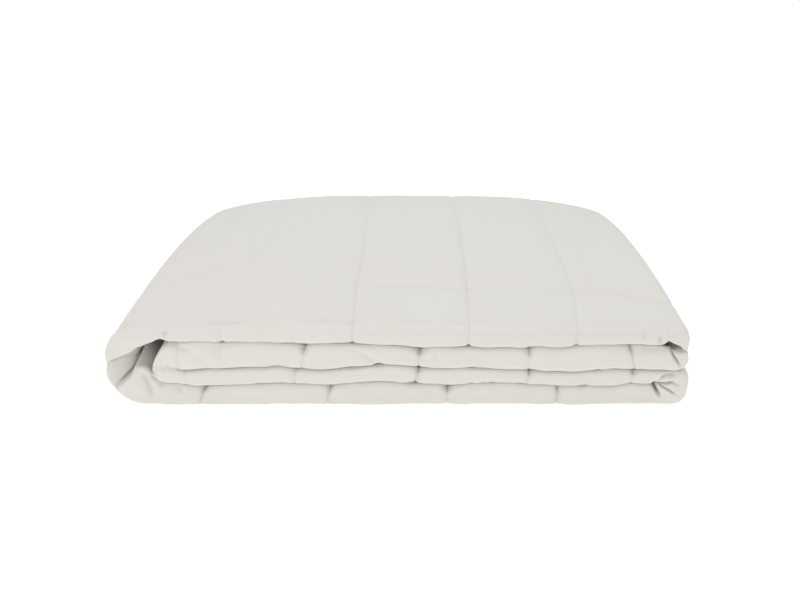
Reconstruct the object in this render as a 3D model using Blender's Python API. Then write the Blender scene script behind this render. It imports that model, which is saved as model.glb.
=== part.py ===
"""A quilted weighted blanket, folded up into a stack of four thick layers.

The blanket is a field of square filled pockets, 12 by 20. It is folded in four
across its width, which gives a band of four plies with a round front edge. Both
ends of that band are then folded in to its middle, and the whole is folded in
half. Seen from the front it is a spiral of four runs joined by three turns: the
first end lies under the top run, the other end lies above the bottom run, and
the two hemmed ends meet inside one large round loop on the left.

Metres, +Z up. The origin is the middle of the footprint, on the surface that the
blanket rests on. +X runs along the layers, the loop is at -X, and the round
front edges face -Y.
"""
import math
from collections import namedtuple

import bpy
import numpy as np

# ---- the blanket, laid out flat ------------------------------------------------
POCKET = 0.100
POCKETS_LONG = 20
POCKETS_WIDE = 12
FOLDS_EACH_WAY = 4
FOLD_TAKE_UP = 0.008        # depth lost in rounding the folds
BORDER = 0.022              # from the last line of stitching to the hemmed end

# ---- the folded stack ----------------------------------------------------------
STACK_LENGTH = POCKET * POCKETS_LONG / FOLDS_EACH_WAY
STACK_DEPTH = POCKET * POCKETS_WIDE / FOLDS_EACH_WAY - FOLD_TAKE_UP
GAP = 0.0012                # air between two layers
HALF_LENGTH = STACK_LENGTH / 2
HALF_DEPTH = STACK_DEPTH / 2
FIRST_ROW = 0.069           # first cross seam behind the front edge

# ---- quilting and rounding -----------------------------------------------------
SEAM_DEPTH = 0.0034         # how far a line of stitching lies under its pockets
SEAM_REACH = 0.0095         # half width of that valley
MOST_DIP = 0.35             # a valley's greatest share of the layer's half thickness
SHOULDER = 0.013            # from a seam to the shoulder of its pocket
EDGE_STEPS = (0.016, 0.044)     # first points of a flat face behind the front edge
BACK_STEPS = (0.026, 0.014)     # last points of a flat face before the back edge
FRONT_NOSE = 0.0095         # how far the round front edge stands out of a layer
BACK_NOSE = 0.0080
END_ROUNDING = 0.010        # length over which a hemmed end thins out
END_THINNEST = 0.16         # share of the thickness, squared, at the very end
END_SET_BACK = 0.006        # rounded corners of a hemmed end, seen from above
FLAT_BELOW = 0.0012         # what lies this close to the surface rests on it

# ---- how the stack settles -----------------------------------------------------
CROWN = 0.030               # rise of the middle, as a share of the height
FRONT_DROOP = 0.010         # fall towards the front edge, as a share
BACK_DROOP = 0.060          # fall towards the back edge, as a share
CORNER_DROOP = 0.200        # further fall of the two back corners, as a share
TAPER = 0.040               # how much narrower the back is than the front
SKEW = 0.0045               # how far the back stands to the right of the front
CORNER_ROUNDING = 0.016     # how far the back corners are drawn in, from above
CENTRING = 0.0015           # moves the stack so that its footprint is centred

CLOTH_COLOUR = (0.73, 0.72, 0.68, 1.0)      # light warm grey
CLOTH_ROUGHNESS = 0.92

# Where one layer ends and the next begins, one row for each place along the stack.
Level = namedtuple("Level", "x under_third under_second under_top top")
LEVELS = (
    Level(-0.250, 0.0229, 0.0381, 0.0669, 0.0806),
    Level(-0.180, 0.0209, 0.0381, 0.0664, 0.0818),
    Level(-0.100, 0.0237, 0.0417, 0.0659, 0.0821),
    Level(-0.060, 0.0216, 0.0387, 0.0651, 0.0824),
    Level(-0.015, 0.0254, 0.0434, 0.0634, 0.0822),
    Level(0.045, 0.0213, 0.0394, 0.0611, 0.0821),
    Level(0.110, 0.0233, 0.0387, 0.0607, 0.0820),
    Level(0.150, 0.0207, 0.0365, 0.0627, 0.0818),
    Level(0.210, 0.0235, 0.0385, 0.0637, 0.0812),
    Level(0.250, 0.0224, 0.0381, 0.0619, 0.0806),
)

# The straight runs, one row each, in the order of the path from the first end.
# outer and inner name the levels that the run's two faces follow.
Run = namedtuple("Run", "name start end outer inner front back")
RUNS = (
    Run("second", -0.186 - BORDER, 0.236, "above_second", "below_top", -0.1450, 0.1435),
    Run("top", 0.236, -0.215, "top", "above_top", -0.1460, 0.1460),
    Run("bottom", -0.215, 0.236, "floor", "below_third", -0.1440, 0.1440),
    Run("third", 0.236, -0.190 - BORDER, "below_second", "above_third", -0.1430, 0.1425),
)

# The turns that join them, one row each. The reaches are the turn's outer and
# inner face past the end of the run, and squareness is 1 for an ellipse.
Turn = namedtuple("Turn", "name reach_outer reach_inner squareness")
TURNS = (
    Turn("upper right fold", 0.0115, 0.0030, 0.60),
    Turn("left loop", -0.0350, -0.0140, 0.95),
    Turn("lower right fold", 0.0160, 0.0030, 0.60),
)

# The lines of stitching that cross the runs, one row each, in path order. A line
# lies on a run at x, or in a turn at a share of it. strips is the number of
# strips that the pocket after the line is modelled in.
Line = namedtuple("Line", "kind number place strips")
LINES = (
    Line("run", 0, -0.186, 4),
    Line("run", 0, -0.081, 4),
    Line("run", 0, 0.0176, 4),
    Line("run", 0, 0.1116, 4),
    Line("run", 0, 0.1988, 7),
    Line("turn", 0, 0.48, 7),
    Line("run", 1, 0.150, 4),
    Line("run", 1, 0.0596, 4),
    Line("run", 1, -0.0393, 4),
    Line("run", 1, -0.1466, 9),
    Line("turn", 1, 0.48, 9),
    Line("run", 2, -0.1729, 4),
    Line("run", 2, -0.0612, 4),
    Line("run", 2, 0.0423, 4),
    Line("run", 2, 0.1394, 4),
    Line("run", 2, 0.226, 9),
    Line("run", 3, 0.1943, 4),
    Line("run", 3, 0.1117, 4),
    Line("run", 3, 0.0155, 4),
    Line("run", 3, -0.0881, 4),
    Line("run", 3, -0.190, 1),
)

# The rounded edges, from the outer face to the inner one, one row for each step:
# height is 1 at the outer face and -1 at the inner one, out is the share of the
# nose. The back shows a fold of two plies above the hems of the other two.
Step = namedtuple("Step", "height out")
FRONT_EDGE = (Step(0.93, 0.50), Step(0.58, 0.90), Step(0.0, 1.00), Step(-0.58, 0.90), Step(-0.93, 0.50))
BACK_EDGE = (Step(0.92, 0.55), Step(0.55, 1.00), Step(0.12, 0.60), Step(-0.02, 0.10),
             Step(-0.16, 0.60), Step(-0.55, 0.90), Step(-0.92, 0.50))

SAMPLES = 400               # points on each run and turn when lengths are measured


def level_at(name, x):
    """Height of a layer's face at x. Two faces that meet stand GAP apart."""
    xs = [row.x for row in LEVELS]
    if name == "floor":
        return np.zeros_like(x)
    if name == "top":
        return np.interp(x, xs, [row.top for row in LEVELS])
    side, layer = name.split("_")
    border = np.interp(x, xs, [getattr(row, "under_" + layer) for row in LEVELS])
    return border + (GAP / 2 if side == "above" else -GAP / 2)


def face_points(track, face):
    """Points (x, z) of one face of the band, for places on the track.

    Run number n takes the track from 2n to 2n + 1, and turn number n takes it
    from 2n + 1 to 2n + 2. A turn is a half ellipse between its two runs' faces.
    """
    x = np.zeros_like(track)
    z = np.zeros_like(track)
    for number, run in enumerate(RUNS):
        here = (track >= 2 * number) & (track <= 2 * number + 1)
        share = track[here] - 2 * number
        x[here] = run.start + (run.end - run.start) * share
        z[here] = level_at(getattr(run, face), x[here])
    for number, turn in enumerate(TURNS):
        here = (track > 2 * number + 1) & (track < 2 * number + 2)
        angle = math.pi * (track[here] - 2 * number - 1)
        before, after = RUNS[number], RUNS[number + 1]
        corner = np.array([before.end])
        low = level_at(getattr(before, face), corner)
        high = level_at(getattr(after, face), corner)
        reach = turn.reach_outer if face == "outer" else turn.reach_inner
        along = np.sign(np.cos(angle)) * np.abs(np.cos(angle)) ** turn.squareness
        x[here] = before.end + reach * np.sin(angle) ** turn.squareness
        z[here] = (low + high) / 2 + (low - high) / 2 * along
    return np.stack([x, z], axis=1)


def measured_track():
    """Places along the track, and the length of the outer face up to each."""
    track = np.linspace(0.0, 2 * len(RUNS) - 1, SAMPLES * (2 * len(RUNS) - 1) + 1)
    points = face_points(track, "outer")
    steps = np.linalg.norm(np.diff(points, axis=0), axis=1)
    return track, np.concatenate([[0.0], np.cumsum(steps)])


def line_lengths(track, length):
    """Length of the outer face up to each line of stitching."""
    places = []
    for line in LINES:
        if line.kind == "run":
            run = RUNS[line.number]
            places.append(2 * line.number + (line.place - run.start) / (run.end - run.start))
        else:
            places.append(2 * line.number + 1 + line.place)
    return np.interp(places, track, length)


def strips_of(width, count):
    """Where the strips of one pocket begin: a shoulder at each side of it."""
    if count == 1:
        return np.array([0.0])
    return np.concatenate([[0.0], np.linspace(SHOULDER, width - SHOULDER, count - 1)])


def stations():
    """Lengths of all the cross sections of the band, from one end to the other."""
    track, length = measured_track()
    lines = line_lengths(track, length)
    ending = np.array([0.0, 0.25, 0.6, 1.0]) * END_ROUNDING
    found = [ending]
    for number, line in enumerate(LINES[:-1]):
        width = lines[number + 1] - lines[number]
        found.append(lines[number] + strips_of(width, line.strips))
    found.append(lines[-1:])
    found.append(length[-1] - ending[::-1])
    places = np.concatenate(found)
    return places, np.interp(places, length, track), lines, length[-1]


def edge_lines(track):
    """Front and back edge of the band at each place, blended over the turns."""
    knots = [value for number in range(len(RUNS)) for value in (2 * number, 2 * number + 1)]
    front = np.interp(track, knots, [run.front for run in RUNS for _ in range(2)])
    back = np.interp(track, knots, [run.back for run in RUNS for _ in range(2)])
    return front, back


def row_places():
    """Places in Y of the points on a flat face: each cross seam, with shoulders."""
    seams = [-HALF_DEPTH + FIRST_ROW + POCKET * row for row in range(2)]
    places = [-HALF_DEPTH + step for step in EDGE_STEPS]
    for seam in seams:
        places += [seam - SHOULDER, seam, seam + SHOULDER, seam + POCKET / 2]
    places += [HALF_DEPTH - step for step in BACK_STEPS]
    return np.array(places), seams + places[-1:]


def valley(distance):
    """Depth of the quilting at a distance from the nearest seam."""
    return SEAM_DEPTH * np.exp(-(distance / SEAM_REACH) ** 2)


def nearest(values, marks):
    """Distance of each value from the nearest mark."""
    return np.abs(values[:, None] - np.asarray(marks)[None, :]).min(axis=1)


def settle(points):
    """The stack under its own weight: crowned, lower and narrower at the back."""
    x, y, z = points[..., 0], points[..., 1], points[..., 2]
    across = x / HALF_LENGTH
    back = np.clip((y + HALF_DEPTH) / STACK_DEPTH, 0.0, 1.0)
    height = 1.0 + CROWN * (1.0 - across ** 2) - FRONT_DROOP * (1.0 - back) ** 6
    height -= BACK_DROOP * back ** 5 + CORNER_DROOP * back ** 3 * across ** 4
    drawn_in = CORNER_ROUNDING * np.abs(across) ** 5 * back ** 3
    moved = x * (1.0 - TAPER * back ** 1.5) + SKEW * back - CENTRING
    return np.stack([moved, y - drawn_in, z * height], axis=-1)


def blanket_rings():
    """Every cross section of the band, as an array of rings of points.

    A ring runs along the outer face from front to back, round the back edge,
    along the inner face to the front and round the front edge.
    """
    places, track, lines, total = stations()
    outer = face_points(track, "outer")
    inner = face_points(track, "inner")
    front, back = edge_lines(track)

    seam_here = valley(nearest(places, lines))
    from_end = np.minimum(places, total - places)
    inwards = np.clip(from_end / END_ROUNDING, 0.0, 1.0)
    thinning = np.sqrt(END_THINNEST + (1.0 - END_THINNEST) * inwards)
    corner = END_SET_BACK * (1.0 - inwards) ** 2

    middle = (outer + inner) / 2
    across = (outer - inner) / 2
    half = np.linalg.norm(across, axis=1)
    across = across / half[:, None]
    half = half * thinning

    rows, cross_seams = row_places()
    dip_rows = valley(nearest(rows, cross_seams))

    def column(offset, y):
        """One point of every ring, offset from the middle of the band."""
        xz = middle + across * offset[:, None]
        return np.stack([xz[:, 0], y, xz[:, 1]], axis=1)

    columns = []
    dip = np.maximum(seam_here[:, None], dip_rows[None, :])
    dip = np.minimum(dip, MOST_DIP * half[:, None])
    flat_front = front + FRONT_NOSE + corner
    flat_back = back - BACK_NOSE - corner
    span = (rows - rows[0]) / (rows[-1] - rows[0])
    row_y = flat_front[:, None] + (flat_back - flat_front)[:, None] * span[None, :]
    for number in range(len(rows)):
        columns.append(column(half - dip[:, number], row_y[:, number]))
    for step in BACK_EDGE:
        out = BACK_NOSE * step.out - seam_here * step.out
        columns.append(column(half * step.height, flat_back + out))
    for number in reversed(range(len(rows))):
        columns.append(column(dip[:, number] - half, row_y[:, number]))
    for step in reversed(FRONT_EDGE):
        out = FRONT_NOSE * step.out - seam_here * step.out
        columns.append(column(half * step.height, flat_front - out))
    rings = settle(np.stack(columns, axis=1))
    rings[..., 2] = np.where(rings[..., 2] < FLAT_BELOW, 0.0, rings[..., 2])
    return rings, len(rows)


def blanket_mesh():
    """The rings joined into one closed skin, with each end closed by a ladder."""
    rings, row_count = blanket_rings()
    ring_count, size = rings.shape[:2]
    index = np.arange(ring_count * size).reshape(ring_count, size)
    following = np.roll(index, -1, axis=1)
    walls = np.stack([index[:-1], following[:-1], following[1:], index[1:]], axis=-1)
    faces = [tuple(int(i) for i in quad) for quad in walls.reshape(-1, 4)]
    faces += end_faces(index[0], row_count, True) + end_faces(index[-1], row_count, False)
    mesh = bpy.data.meshes.new("blanket")
    mesh.from_pydata([tuple(map(float, point)) for point in rings.reshape(-1, 3)], [], faces)
    mesh.validate()
    return mesh


def end_faces(ring, row_count, turned):
    """Faces that close a hemmed end: rungs between its two long sides, and a fan at each edge."""
    outer = [int(i) for i in ring[:row_count]]
    inner_first = row_count + len(BACK_EDGE)
    inner = [int(i) for i in ring[inner_first:inner_first + row_count]][::-1]
    back = [int(i) for i in ring[row_count - 1:inner_first + 1]]
    front = [int(i) for i in ring[inner_first + row_count - 1:]] + [int(ring[0])]
    faces = [(outer[n], outer[n + 1], inner[n + 1], inner[n]) for n in range(row_count - 1)]
    faces += [tuple(back), tuple(front)]
    return [face[::-1] for face in faces] if turned else faces


def cloth_material():
    """Light warm grey cotton cover."""
    material = bpy.data.materials.new("blanket cover")
    material.use_nodes = True
    shader = material.node_tree.nodes["Principled BSDF"]
    shader.inputs["Base Color"].default_value = CLOTH_COLOUR
    shader.inputs["Roughness"].default_value = CLOTH_ROUGHNESS
    shader.inputs["Metallic"].default_value = 0.0
    return material


def main():
    """Clear the scene and make the one object."""
    for leftover in list(bpy.data.objects):
        bpy.data.objects.remove(leftover, do_unlink=True)
    mesh = blanket_mesh()
    mesh.materials.append(cloth_material())
    mesh.shade_smooth()
    blanket = bpy.data.objects.new("blanket", mesh)
    bpy.context.scene.collection.objects.link(blanket)


main()
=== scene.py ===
"""Looks of a folded weighted blanket: quilted cover, stitching, wrinkles, floor and light.

The blanket is a band of four plies, folded into a spiral of four runs and three turns.
Its skin is one grid. One way of the grid goes along the band (stations), the other goes
round it (a ring: outer face, back edge, inner face, front edge). Every part of the shape
is worked out on whole arrays of that grid, in metres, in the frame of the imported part.
"""
from __future__ import annotations

import logging
import math
from dataclasses import dataclass, field
from enum import Enum, IntEnum
from typing import NamedTuple

import bpy
import numpy as np
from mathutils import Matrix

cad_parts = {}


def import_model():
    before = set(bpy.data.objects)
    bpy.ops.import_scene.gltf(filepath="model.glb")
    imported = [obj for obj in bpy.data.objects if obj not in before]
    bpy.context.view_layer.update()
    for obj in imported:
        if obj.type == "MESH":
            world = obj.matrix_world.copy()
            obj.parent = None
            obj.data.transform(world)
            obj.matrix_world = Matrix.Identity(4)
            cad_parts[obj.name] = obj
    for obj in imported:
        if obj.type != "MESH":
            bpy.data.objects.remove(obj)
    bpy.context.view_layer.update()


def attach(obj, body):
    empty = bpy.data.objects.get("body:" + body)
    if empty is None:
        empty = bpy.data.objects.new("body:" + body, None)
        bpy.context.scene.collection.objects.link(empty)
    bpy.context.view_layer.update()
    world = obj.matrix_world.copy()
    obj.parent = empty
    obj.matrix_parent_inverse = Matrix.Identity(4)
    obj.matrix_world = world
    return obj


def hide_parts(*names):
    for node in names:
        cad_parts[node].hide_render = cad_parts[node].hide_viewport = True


Array = np.ndarray
log = logging.getLogger("blanket")

NODE = "blanket"
BODY = "root"
MM = 0.001
CROSS_ROWS = (1.0, 2.0, 3.0)
WHITE = (1.0, 1.0, 1.0)


class Seed(IntEnum):
    """Which random values each kind of unevenness draws."""

    LINE_STRAY = 5
    LINE_DEPTH = 6
    CROSS_STRAY = 9
    BACK_HEMS = 21
    END_HEMS = 31
    FRONT_GRAIN = 41
    FACE_GRAIN = 43
    FRONT_RIPPLE = 47


# ---- small tools on arrays --------------------------------------------------------------
def smooth_line(x: Array, knots: Array, values: Array) -> Array:
    """A smooth curve through a few points: cubic pieces whose slopes are those of the neighbours.

    Args:
        x: where the curve is wanted.
        knots: rising places of the points.
        values: heights of the points.

    Returns:
        The curve's height at each x. It stays level past the first and last point.
    """
    slopes = np.gradient(values, knots)
    piece = np.clip(np.searchsorted(knots, x, side="right") - 1, 0, len(knots) - 2)
    width = knots[piece + 1] - knots[piece]
    t = np.clip((x - knots[piece]) / width, 0.0, 1.0)
    rise = (2 * t ** 3 - 3 * t ** 2 + 1) * values[piece] + (3 * t ** 2 - 2 * t ** 3) * values[piece + 1]
    bend = (t ** 3 - 2 * t ** 2 + t) * slopes[piece] + (t ** 3 - t ** 2) * slopes[piece + 1]
    return rise + bend * width


def smooth_step(x: Array, low: float, high: float) -> Array:
    """A soft S: three times the square of the share less twice its cube.

    Args:
        x: where the step is wanted.
        low: it is 0 below this.
        high: it is 1 above this.

    Returns:
        The step's height at each x.
    """
    t = np.clip((x - low) / (high - low), 0.0, 1.0)
    return t * t * (3.0 - 2.0 * t)


def bell(x: Array, reach: float, power: float = 2.0) -> Array:
    """A bell: 1 in the middle, and falling with a power of the distance in reaches.

    Args:
        x: distance from the middle, of either sign.
        reach: where the bell has fallen to about a third.
        power: 2 is the usual bell, and less is more pointed.

    Returns:
        The bell's height at each x.
    """
    return np.exp(-np.abs(x / reach) ** power)


def soft_noise(u: Array, v: Array, seed: Seed) -> Array:
    """Smooth noise of unit grain: random values on whole numbers, eased between them.

    Args:
        u: first coordinate, in grains.
        v: second coordinate, in grains.
        seed: picks the random values.

    Returns:
        Values from -1 to 1, in the shape that u and v make together.
    """
    size = 256
    lattice = np.random.default_rng(seed.value).uniform(-1.0, 1.0, (size, size))
    u, v = np.broadcast_arrays(u, v)
    column, row = np.floor(u).astype(int), np.floor(v).astype(int)
    fu, fv = u - column, v - row
    fu, fv = fu * fu * (3 - 2 * fu), fv * fv * (3 - 2 * fv)
    c0, c1, r0, r1 = column % size, (column + 1) % size, row % size, (row + 1) % size
    near = lattice[c0, r0] * (1 - fu) + lattice[c1, r0] * fu
    far = lattice[c0, r1] * (1 - fu) + lattice[c1, r1] * fu
    return near * (1 - fv) + far * fv


def spaced_superellipse(power: float, depth: float, half: float, count: int,
                        crowding: float = 0.0) -> tuple[Array, Array]:
    """Points along a superellipse, from its upper end round to its lower one.

    Height and reach are powers of the cosine and sine of one angle. They are worked out at
    many angles, and read again at lengths of the curve that are even, or closer together
    where the curve turns its two corners.

    Args:
        power: 2 is an ellipse, and more is squarer.
        depth: reach at mid height, which sets the spacing.
        half: half the height, which sets the spacing.
        count: number of points, without the two ends.
        crowding: 0 is even spacing, and 0.5 is half of it at the corners.

    Returns:
        Height from 1 to -1, and reach from 0 to 1 and back.
    """
    samples = 2001
    angle = np.linspace(0.0, math.pi, samples)
    height = np.sign(np.cos(angle)) * np.abs(np.cos(angle)) ** (2.0 / power)
    out = np.abs(np.sin(angle)) ** (2.0 / power)
    steps = np.hypot(np.diff(height) * half, np.diff(out) * depth)
    length = np.concatenate([[0.0], np.cumsum(steps)])
    share = (np.arange(count) + 1) / (count + 1)
    wanted = length[-1] * (share + crowding * np.sin(4 * math.pi * share) / (4 * math.pi))
    return np.interp(wanted, length, height), np.interp(wanted, length, out)


def course_distance(a: Array, b: Array, course: tuple[tuple[float, float], ...]) -> tuple[Array, Array]:
    """Distance of points from a bent line, and how far along it the nearest place is.

    Args:
        a: first coordinate of the points.
        b: second coordinate of the points.
        course: corners of the line, in the same units.

    Returns:
        The distance, and the share of the line's length at the nearest place.
    """
    corners = np.array(course, float)
    legs = np.linalg.norm(np.diff(corners, axis=0), axis=1)
    starts = np.concatenate([[0.0], np.cumsum(legs)])
    best, share = np.full(a.shape, np.inf), np.zeros(a.shape)
    for corner, following, leg, start in zip(corners[:-1], corners[1:], legs, starts):
        way = (following - corner) / leg
        along = np.clip((a - corner[0]) * way[0] + (b - corner[1]) * way[1], 0.0, leg)
        gap = np.hypot(a - corner[0] - way[0] * along, b - corner[1] - way[1] * along)
        nearer = gap < best
        best = np.where(nearer, gap, best)
        share = np.where(nearer, (start + along) / starts[-1], share)
    return best, share


def new_object(name: str, points: Array | list, faces: list, smooth: bool = True) -> bpy.types.Object:
    """Makes a mesh object that stands at the origin, unturned.

    Args:
        name: the new object's name.
        points: its points, in metres.
        faces: its faces, as numbers of points.
        smooth: whether it is shaded smooth.

    Returns:
        The object, in the scene.
    """
    mesh = bpy.data.meshes.new(name)
    mesh.from_pydata(points, [], faces)
    if smooth:
        mesh.shade_smooth()
    made = bpy.data.objects.new(name, mesh)
    bpy.context.scene.collection.objects.link(made)
    return made


# ---- how the blanket is folded ----------------------------------------------------------
class Face(Enum):
    """The two faces of the folded band."""

    OUTER = "outer"
    INNER = "inner"


class Part(Enum):
    """The two kinds of parts of the path."""

    RUN = "run"
    TURN = "turn"


class Border(Enum):
    """What bounds the layers of the stack, from below, by the heights that a Level gives it."""

    FLOOR = "floor"
    UNDER_THIRD = "under_third"
    UNDER_SECOND = "under_second"
    UNDER_TOP = "under_top"
    TOP = "top"


class Level(NamedTuple):
    """Heights where one layer ends and the next begins, at one place along the stack, in metres."""

    x: float
    under_third: float
    under_second: float
    under_top: float
    top: float


class Run(NamedTuple):
    """One straight layer, in the order of the path from the first end.

    It goes from start to end in x, between the borders under and over it. facing_up says that
    its outer face is the upper one. front and back are the y of its two edges.
    """

    start: float
    end: float
    under: Border
    over: Border
    facing_up: bool
    front: float
    back: float


class Turn(NamedTuple):
    """A half turn between two runs.

    The outer face has one squareness up to its middle and one past it. sag lowers the middle
    of the inner face, in proportion to a power of the sine of the turn.
    """

    reach_outer: float
    reach_inner: float
    square_first: float
    square_last: float
    square_inner: float
    sag: float
    sag_power: float


class Line(NamedTuple):
    """A line of stitching that crosses the band.

    On a run, upper and lower are the x of the line at the upper and the lower corner of the
    front edge, in millimetres. In a turn both are a share of the turn. wedge is the depth of
    the notch at the upper corner, or at the lower one where it is negative, and crease is that
    of the fine crease down the front.
    """

    part: Part
    number: int
    upper: float
    lower: float
    wedge: float
    crease: float


LEVELS = tuple(Level(*row) for row in (
    (-0.250, 0.0370, 0.0440, 0.0554, 0.0806), (-0.220, 0.0370, 0.0440, 0.0595, 0.0811),
    (-0.213, 0.0350, 0.0440, 0.0631, 0.0812), (-0.206, 0.0262, 0.0440, 0.0664, 0.0813),
    (-0.199, 0.0244, 0.0435, 0.0688, 0.0814), (-0.190, 0.0239, 0.0412, 0.0673, 0.0815),
    (-0.181, 0.0226, 0.0388, 0.0681, 0.0816), (-0.172, 0.0216, 0.0388, 0.0694, 0.0817),
    (-0.160, 0.0219, 0.0398, 0.0696, 0.0818), (-0.148, 0.0220, 0.0400, 0.0674, 0.0819),
    (-0.136, 0.0227, 0.0408, 0.0685, 0.0820), (-0.124, 0.0232, 0.0412, 0.0687, 0.0821),
    (-0.112, 0.0241, 0.0413, 0.0684, 0.0821), (-0.100, 0.0242, 0.0423, 0.0671, 0.0822),
    (-0.088, 0.0234, 0.0397, 0.0668, 0.0822), (-0.076, 0.0232, 0.0394, 0.0657, 0.0823),
    (-0.064, 0.0226, 0.0387, 0.0665, 0.0824), (-0.052, 0.0230, 0.0398, 0.0664, 0.0824),
    (-0.040, 0.0243, 0.0412, 0.0663, 0.0824), (-0.028, 0.0247, 0.0419, 0.0654, 0.0823),
    (-0.016, 0.0253, 0.0440, 0.0652, 0.0823), (-0.004, 0.0250, 0.0439, 0.0643, 0.0823),
    (0.008, 0.0236, 0.0430, 0.0633, 0.0822), (0.020, 0.0231, 0.0415, 0.0621, 0.0822),
    (0.032, 0.0234, 0.0405, 0.0633, 0.0822), (0.044, 0.0213, 0.0404, 0.0633, 0.0821),
    (0.056, 0.0227, 0.0412, 0.0632, 0.0821), (0.068, 0.0240, 0.0408, 0.0624, 0.0821),
    (0.080, 0.0244, 0.0404, 0.0620, 0.0820), (0.092, 0.0246, 0.0395, 0.0625, 0.0820),
    (0.104, 0.0240, 0.0394, 0.0621, 0.0820), (0.116, 0.0228, 0.0386, 0.0638, 0.0819),
    (0.128, 0.0226, 0.0371, 0.0629, 0.0819), (0.140, 0.0220, 0.0371, 0.0630, 0.0818),
    (0.152, 0.0214, 0.0371, 0.0646, 0.0818), (0.164, 0.0218, 0.0385, 0.0658, 0.0816),
    (0.176, 0.0214, 0.0399, 0.0662, 0.0815), (0.188, 0.0214, 0.0405, 0.0664, 0.0814),
    (0.200, 0.0241, 0.0401, 0.0664, 0.0813), (0.212, 0.0235, 0.0393, 0.0654, 0.0811),
    (0.224, 0.0240, 0.0392, 0.0657, 0.0809), (0.236, 0.0242, 0.0385, 0.0651, 0.0808),
    (0.250, 0.0242, 0.0379, 0.0651, 0.0806),
))

# The second layer, the top layer, the bottom layer and the third layer.
RUNS = (
    Run(-0.1905, 0.2265, Border.UNDER_SECOND, Border.UNDER_TOP, False, -0.1450, 0.1435),
    Run(0.2265, -0.2150, Border.UNDER_TOP, Border.TOP, True, -0.1460, 0.1460),
    Run(-0.2150, 0.2235, Border.FLOOR, Border.UNDER_THIRD, False, -0.1416, 0.1440),
    Run(0.2235, -0.1962, Border.UNDER_THIRD, Border.UNDER_SECOND, True, -0.1438, 0.1425),
)

# The upper right fold, the left loop and the lower right fold.
TURNS = (
    Turn(0.0181, 0.0118, 0.46, 0.50, 1.15, -0.0066, 1.0),
    Turn(-0.0335, -0.0143, 0.84, 0.79, 1.35, -0.0058, 2.0),
    Turn(0.0286, 0.0014, 0.45, 0.52, 1.0, 0.0, 1.0),
)

LINES = (
    Line(Part.RUN, 0, -184.1, -186.4, 0.3, 0.4),
    Line(Part.RUN, 0, -77.9, -81.5, 6.0, 1.0),
    Line(Part.RUN, 0, 18.7, 18.0, 5.7, 1.2),
    Line(Part.RUN, 0, 110.6, 112.4, 5.0, 0.8),
    Line(Part.RUN, 0, 194.3, 202.0, 3.3, 1.0),
    Line(Part.TURN, 0, 0.50, 0.50, 0.0, 0.0),
    Line(Part.RUN, 1, 149.0, 149.0, -0.8, 0.6),
    Line(Part.RUN, 1, 59.3, 59.3, -1.0, 0.6),
    Line(Part.RUN, 1, -37.2, -37.2, -0.7, 0.6),
    Line(Part.RUN, 1, -146.8, -145.0, -1.2, 0.6),
    Line(Part.TURN, 1, 0.44, 0.44, 0.0, 0.0),
    Line(Part.RUN, 2, -167.4, -174.4, 5.7, 2.0),
    Line(Part.RUN, 2, -58.2, -62.7, 5.2, 1.6),
    Line(Part.RUN, 2, 43.3, 42.7, 5.7, 1.0),
    Line(Part.RUN, 2, 138.6, 139.8, 4.4, 1.8),
    Line(Part.RUN, 2, 219.3, 222.0, 0.2, 0.2),
    Line(Part.RUN, 3, 201.7, 200.8, 3.8, 1.0),
    Line(Part.RUN, 3, 112.6, 111.0, 3.8, 1.2),
    Line(Part.RUN, 3, 18.3, 15.0, 3.8, 1.6),
    Line(Part.RUN, 3, -87.1, -89.2, 1.0, 1.0),
    Line(Part.RUN, 3, -182.0, -182.0, 0.2, 0.4),
)


class Opening(NamedTuple):
    """A place where the two faces at a border part, in millimetres.

    The upper face goes up and the lower one down, over a bell of this reach round x. Negative
    moves press the faces together.
    """

    border: Border
    x: float
    reach: float
    up: float
    down: float


OPENINGS = (
    Opening(Border.UNDER_TOP, -197.0, 5.0, 2.4, 0.6),
    Opening(Border.UNDER_TOP, -148.5, 2.6, 0.5, 0.2),
    Opening(Border.UNDER_TOP, 59.3, 1.8, 0.4, 0.1),
    Opening(Border.UNDER_TOP, 149.0, 1.8, 0.3, 0.1),
    Opening(Border.UNDER_TOP, 225.6, 3.3, 4.6, 0.0),
    Opening(Border.UNDER_SECOND, -200.0, 13.0, -1.0, -1.0),
    Opening(Border.UNDER_SECOND, -132.5, 2.6, 0.2, 0.9),
    Opening(Border.UNDER_SECOND, -38.5, 2.8, 0.4, 0.9),
    Opening(Border.UNDER_SECOND, -16.0, 4.0, 0.6, 1.2),
    Opening(Border.UNDER_SECOND, 63.0, 2.4, 0.8, 0.6),
    Opening(Border.UNDER_SECOND, 170.0, 2.8, 0.9, 0.8),
    Opening(Border.UNDER_SECOND, 185.0, 12.0, 0.5, 0.3),
    Opening(Border.UNDER_THIRD, -118.5, 4.0, 0.7, 0.9),
    Opening(Border.UNDER_THIRD, 15.0, 6.0, 1.6, 1.1),
    Opening(Border.UNDER_THIRD, 27.5, 4.0, 0.7, 1.2),
    Opening(Border.UNDER_THIRD, 63.5, 2.2, 1.2, 0.4),
    Opening(Border.UNDER_THIRD, 73.0, 2.2, 1.2, 0.4),
    Opening(Border.UNDER_THIRD, 81.5, 2.2, 1.2, 0.4),
    Opening(Border.UNDER_THIRD, 106.5, 2.6, 1.6, 0.4),
    Opening(Border.UNDER_THIRD, 160.5, 3.4, 0.9, 1.0),
    Opening(Border.UNDER_THIRD, 221.8, 2.4, 1.8, 1.8),
)


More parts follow.
